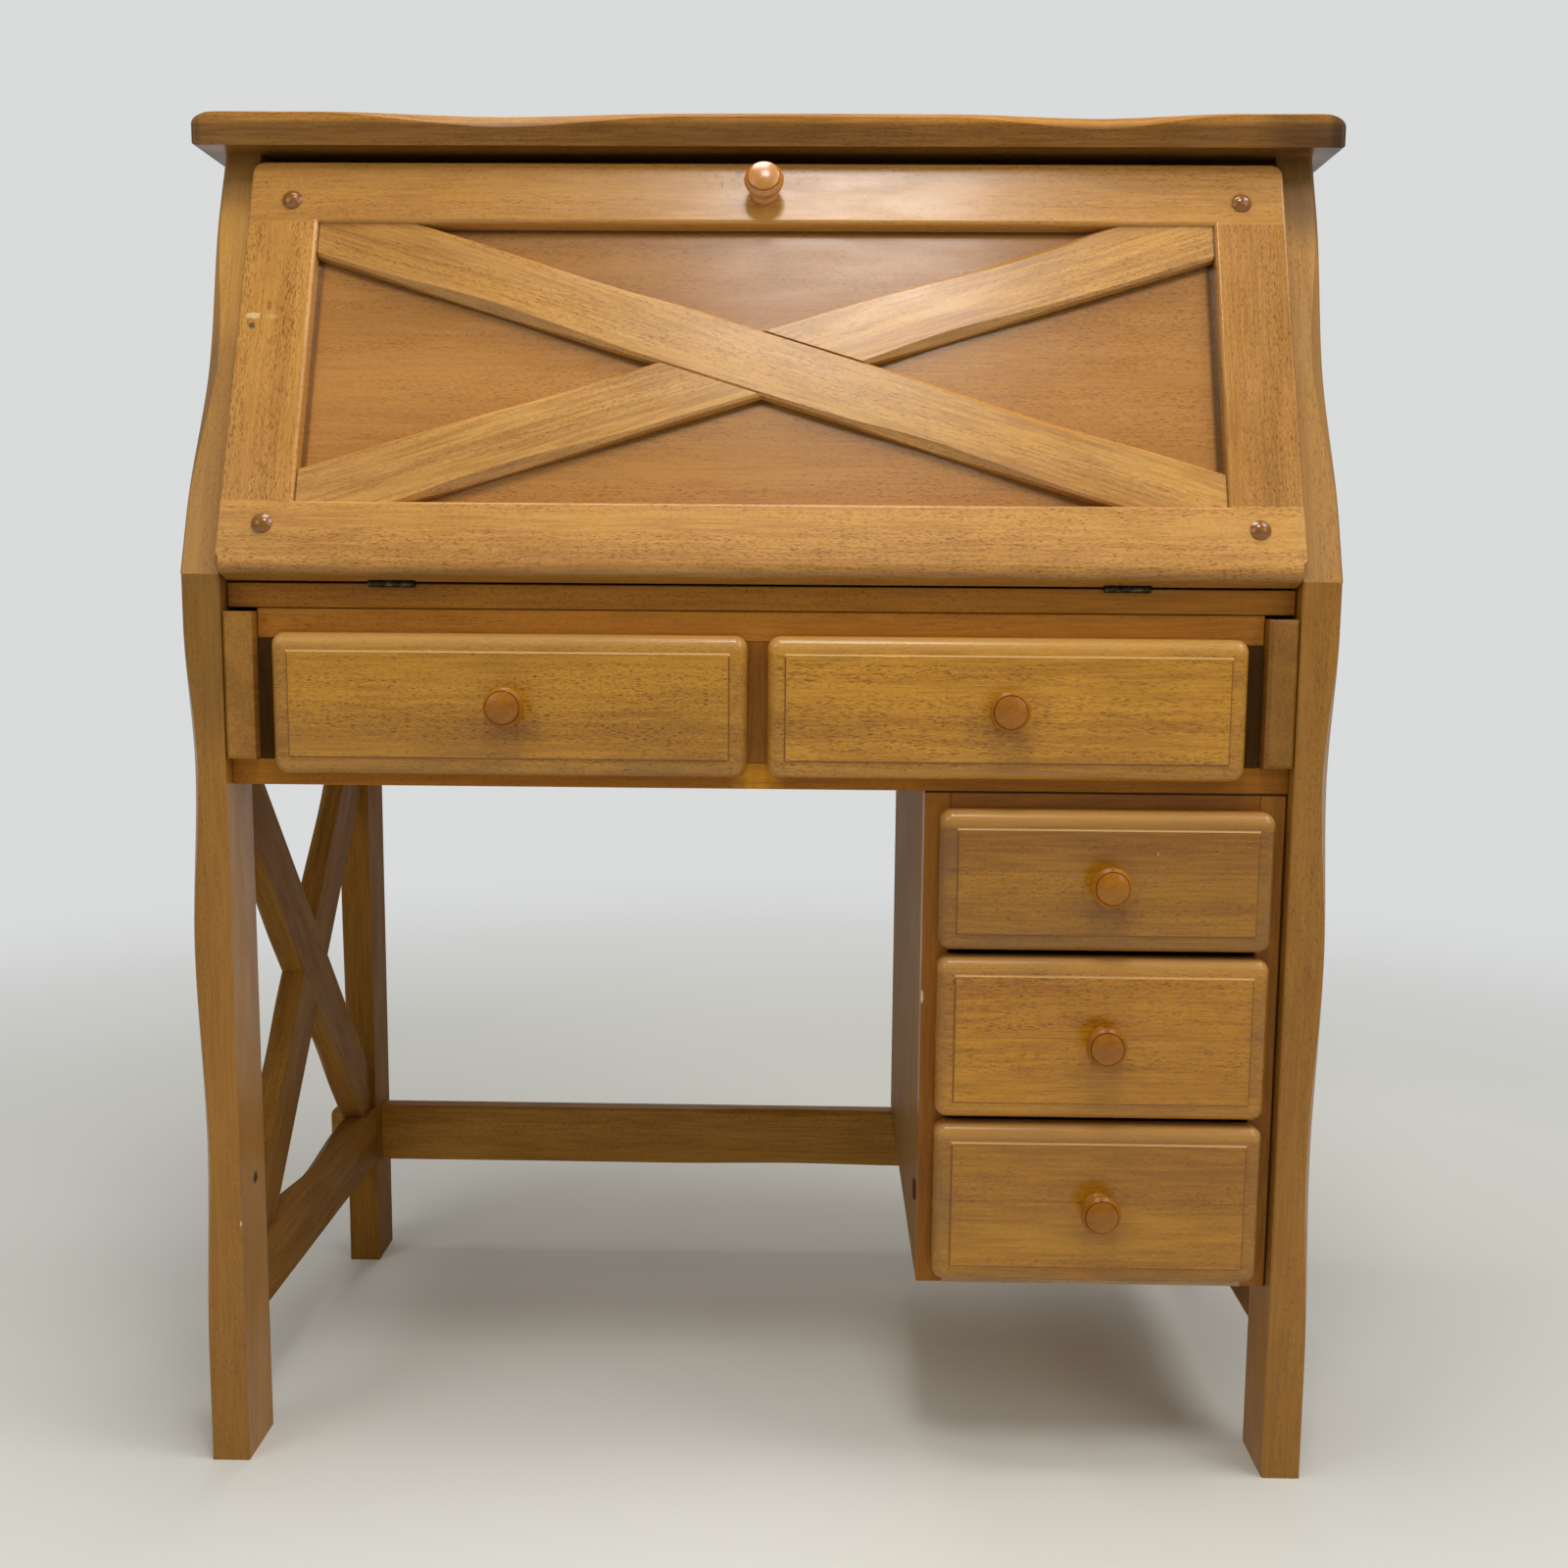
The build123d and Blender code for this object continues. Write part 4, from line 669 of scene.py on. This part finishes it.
# Cover cap: a thin turned cap, stained dark red-brown, with a rounded rim and a dished face. It is
# pressed into the peg hole in the pedestal's left side.
cap_stain = ((0.10, 0.025, 0.016), (0.06, 0.014, 0.009))
cap_radius, cap_depth, cap_sink = 0.009, 0.0016, 0.0004
cap_y, cap_z = -0.166, 0.226
start_piece()
bpy.ops.mesh.primitive_cylinder_add(vertices=48, radius=cap_radius, depth=cap_depth)
cap = bpy.context.object
cap.name = "peg_hole_cap"
bpy.ops.object.mode_set(mode="EDIT")
bpy.ops.mesh.select_mode(type="FACE")
select_faces(cap, faces_up)
for rim, rise in ((0.0011, 0.0004), (0.0009, -0.0003)):
    bpy.ops.mesh.inset(thickness=rim, depth=rise)
bpy.ops.object.mode_set(mode="OBJECT")
rounding = cap.modifiers.new("rounded rim", "BEVEL")
rounding.width = 0.0003
rounding.segments = 2
bpy.ops.object.modifier_apply(modifier=rounding.name)
bpy.ops.object.shade_smooth_by_angle(angle=radians(40.0))
side_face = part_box("pedestal_left_panel")[0].x
cap.rotation_euler = (0.0, -pi / 2, 0.0)
cap.location = (side_face - cap_depth / 2 + cap_sink, cap_y, cap_z)
bpy.ops.object.transform_apply(location=True, rotation=True, scale=True)
cap_finish = stained_wood("peg_hole_cap", cap_stain, turn=grain_up, porosity=0.2, sheen=matt, shine=0.06)
cap.data.materials.append(cap_finish)
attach(cap, "carcass")

# Floor: a plain pale floor with a low sheen, larger than the picture. Away from the desk it brightens
# into the white of the studio, so no horizon shows.
floor_radius, glow_from, glow_full = 9.0, 0.7, 2.6
studio_white = (0.985, 1.0, 1.0, 1.0)
studio_brightness = 0.71
start_piece()
bpy.ops.mesh.primitive_circle_add(vertices=96, radius=floor_radius, fill_type="NGON")
floor = bpy.context.object
floor.name = "floor"
floor_finish = bpy.data.materials.new("pale_floor")
floor_finish.use_nodes = True
floor_tree = floor_finish.node_tree
floor_shader = floor_tree.nodes["Principled BSDF"]
floor_shader.inputs["Base Color"].default_value = (0.86, 0.85, 0.77, 1.0)
floor_shader.inputs["Roughness"].default_value = 0.55
glow_inputs = {"Color": studio_white, "Strength": studio_brightness}
floor_glow = add_node(floor_tree, "ShaderNodeEmission", glow_inputs).outputs[0]
floor_place = add_node(floor_tree, "ShaderNodeTexCoord").outputs["Object"]
floor_reach = vector_math(floor_tree, "LENGTH", floor_place)[1]
glow_share = spread(floor_tree, floor_reach, glow_from, glow_full)
floor_layers = {0: glow_share, 1: floor_shader.outputs[0], 2: floor_glow}
floor_mix = add_node(floor_tree, "ShaderNodeMixShader", floor_layers).outputs[0]
floor_tree.links.new(floor_mix, floor_tree.nodes["Material Output"].inputs["Surface"])
floor.data.materials.append(floor_finish)

# Light: soft ceiling lamps before the desk, above it and to its right, a broad panel on each side and one
# behind, and a dim room all round that shows as plain white.
lit_place = Vector((0.0, -0.1, 0.6))


def add_lamp(name, location, width, power):
    """Hangs a square lamp that faces the middle of the desk."""
    light = bpy.data.lights.new(name, "AREA")
    light.shape = "SQUARE"
    light.size = width
    light.energy = power
    lamp = bpy.data.objects.new(name, light)
    lamp.location = location
    lamp.rotation_euler = (lit_place - Vector(location)).to_track_quat("-Z", "Y").to_euler()
    bpy.context.scene.collection.objects.link(lamp)


add_lamp("front_lamp", (0.1, -1.15, 2.5), 0.5, 13.0)
add_lamp("overhead_lamp", (-0.2, -0.05, 2.7), 0.9, 22.0)
add_lamp("right_lamp", (1.5, -0.5, 2.5), 0.9, 16.0)
add_lamp("left_light_panel", (-2.0, -1.9, 2.0), 1.4, 11.0)
add_lamp("right_light_panel", (2.0, -1.9, 2.0), 1.4, 12.0)
add_lamp("back_light_panel", (0.0, 3.0, 2.4), 1.6, 15.0)
room_light = 0.17
room = bpy.data.worlds.new("studio")
bpy.context.scene.world = room
room.use_nodes = True
room_tree = room.node_tree
room_shader = room_tree.nodes["Background"]
room_shader.inputs["Color"].default_value = studio_white
room_seen = add_node(room_tree, "ShaderNodeLightPath").outputs["Is Camera Ray"]
room_strength = spread(room_tree, room_seen, 0.0, 1.0, room_light, studio_brightness)
room_tree.links.new(room_strength, room_shader.inputs["Strength"])

# Camera: in front of the desk, a little right of its middle and looking slightly down. Its place, lens
# and turn were fitted to the upright and level lines of the desk in the photo.
camera_data = bpy.data.cameras.new("photo_camera")
camera_data.sensor_width = 36.0
camera_data.lens = 36.55
camera_data.clip_start = 0.01
eye = (0.0436, -1.4507, 0.7259)
yaw, pitch, roll = -0.01784, 0.12301, 0.00782
ahead = Vector((sin(yaw) * cos(pitch), cos(yaw) * cos(pitch), -sin(pitch)))
right = Vector((cos(yaw), -sin(yaw), 0.0))
up = right.cross(ahead)
camera_right = cos(roll) * right + sin(roll) * up
camera_up = cos(roll) * up - sin(roll) * right
camera_turn = Matrix((camera_right, camera_up, -ahead)).transposed().to_4x4()
camera = bpy.data.objects.new("photo_camera", camera_data)
camera.matrix_world = Matrix.Translation(eye) @ camera_turn
bpy.context.scene.collection.objects.link(camera)
bpy.context.scene.camera = camera
bpy.context.scene.view_settings.view_transform = "Standard"
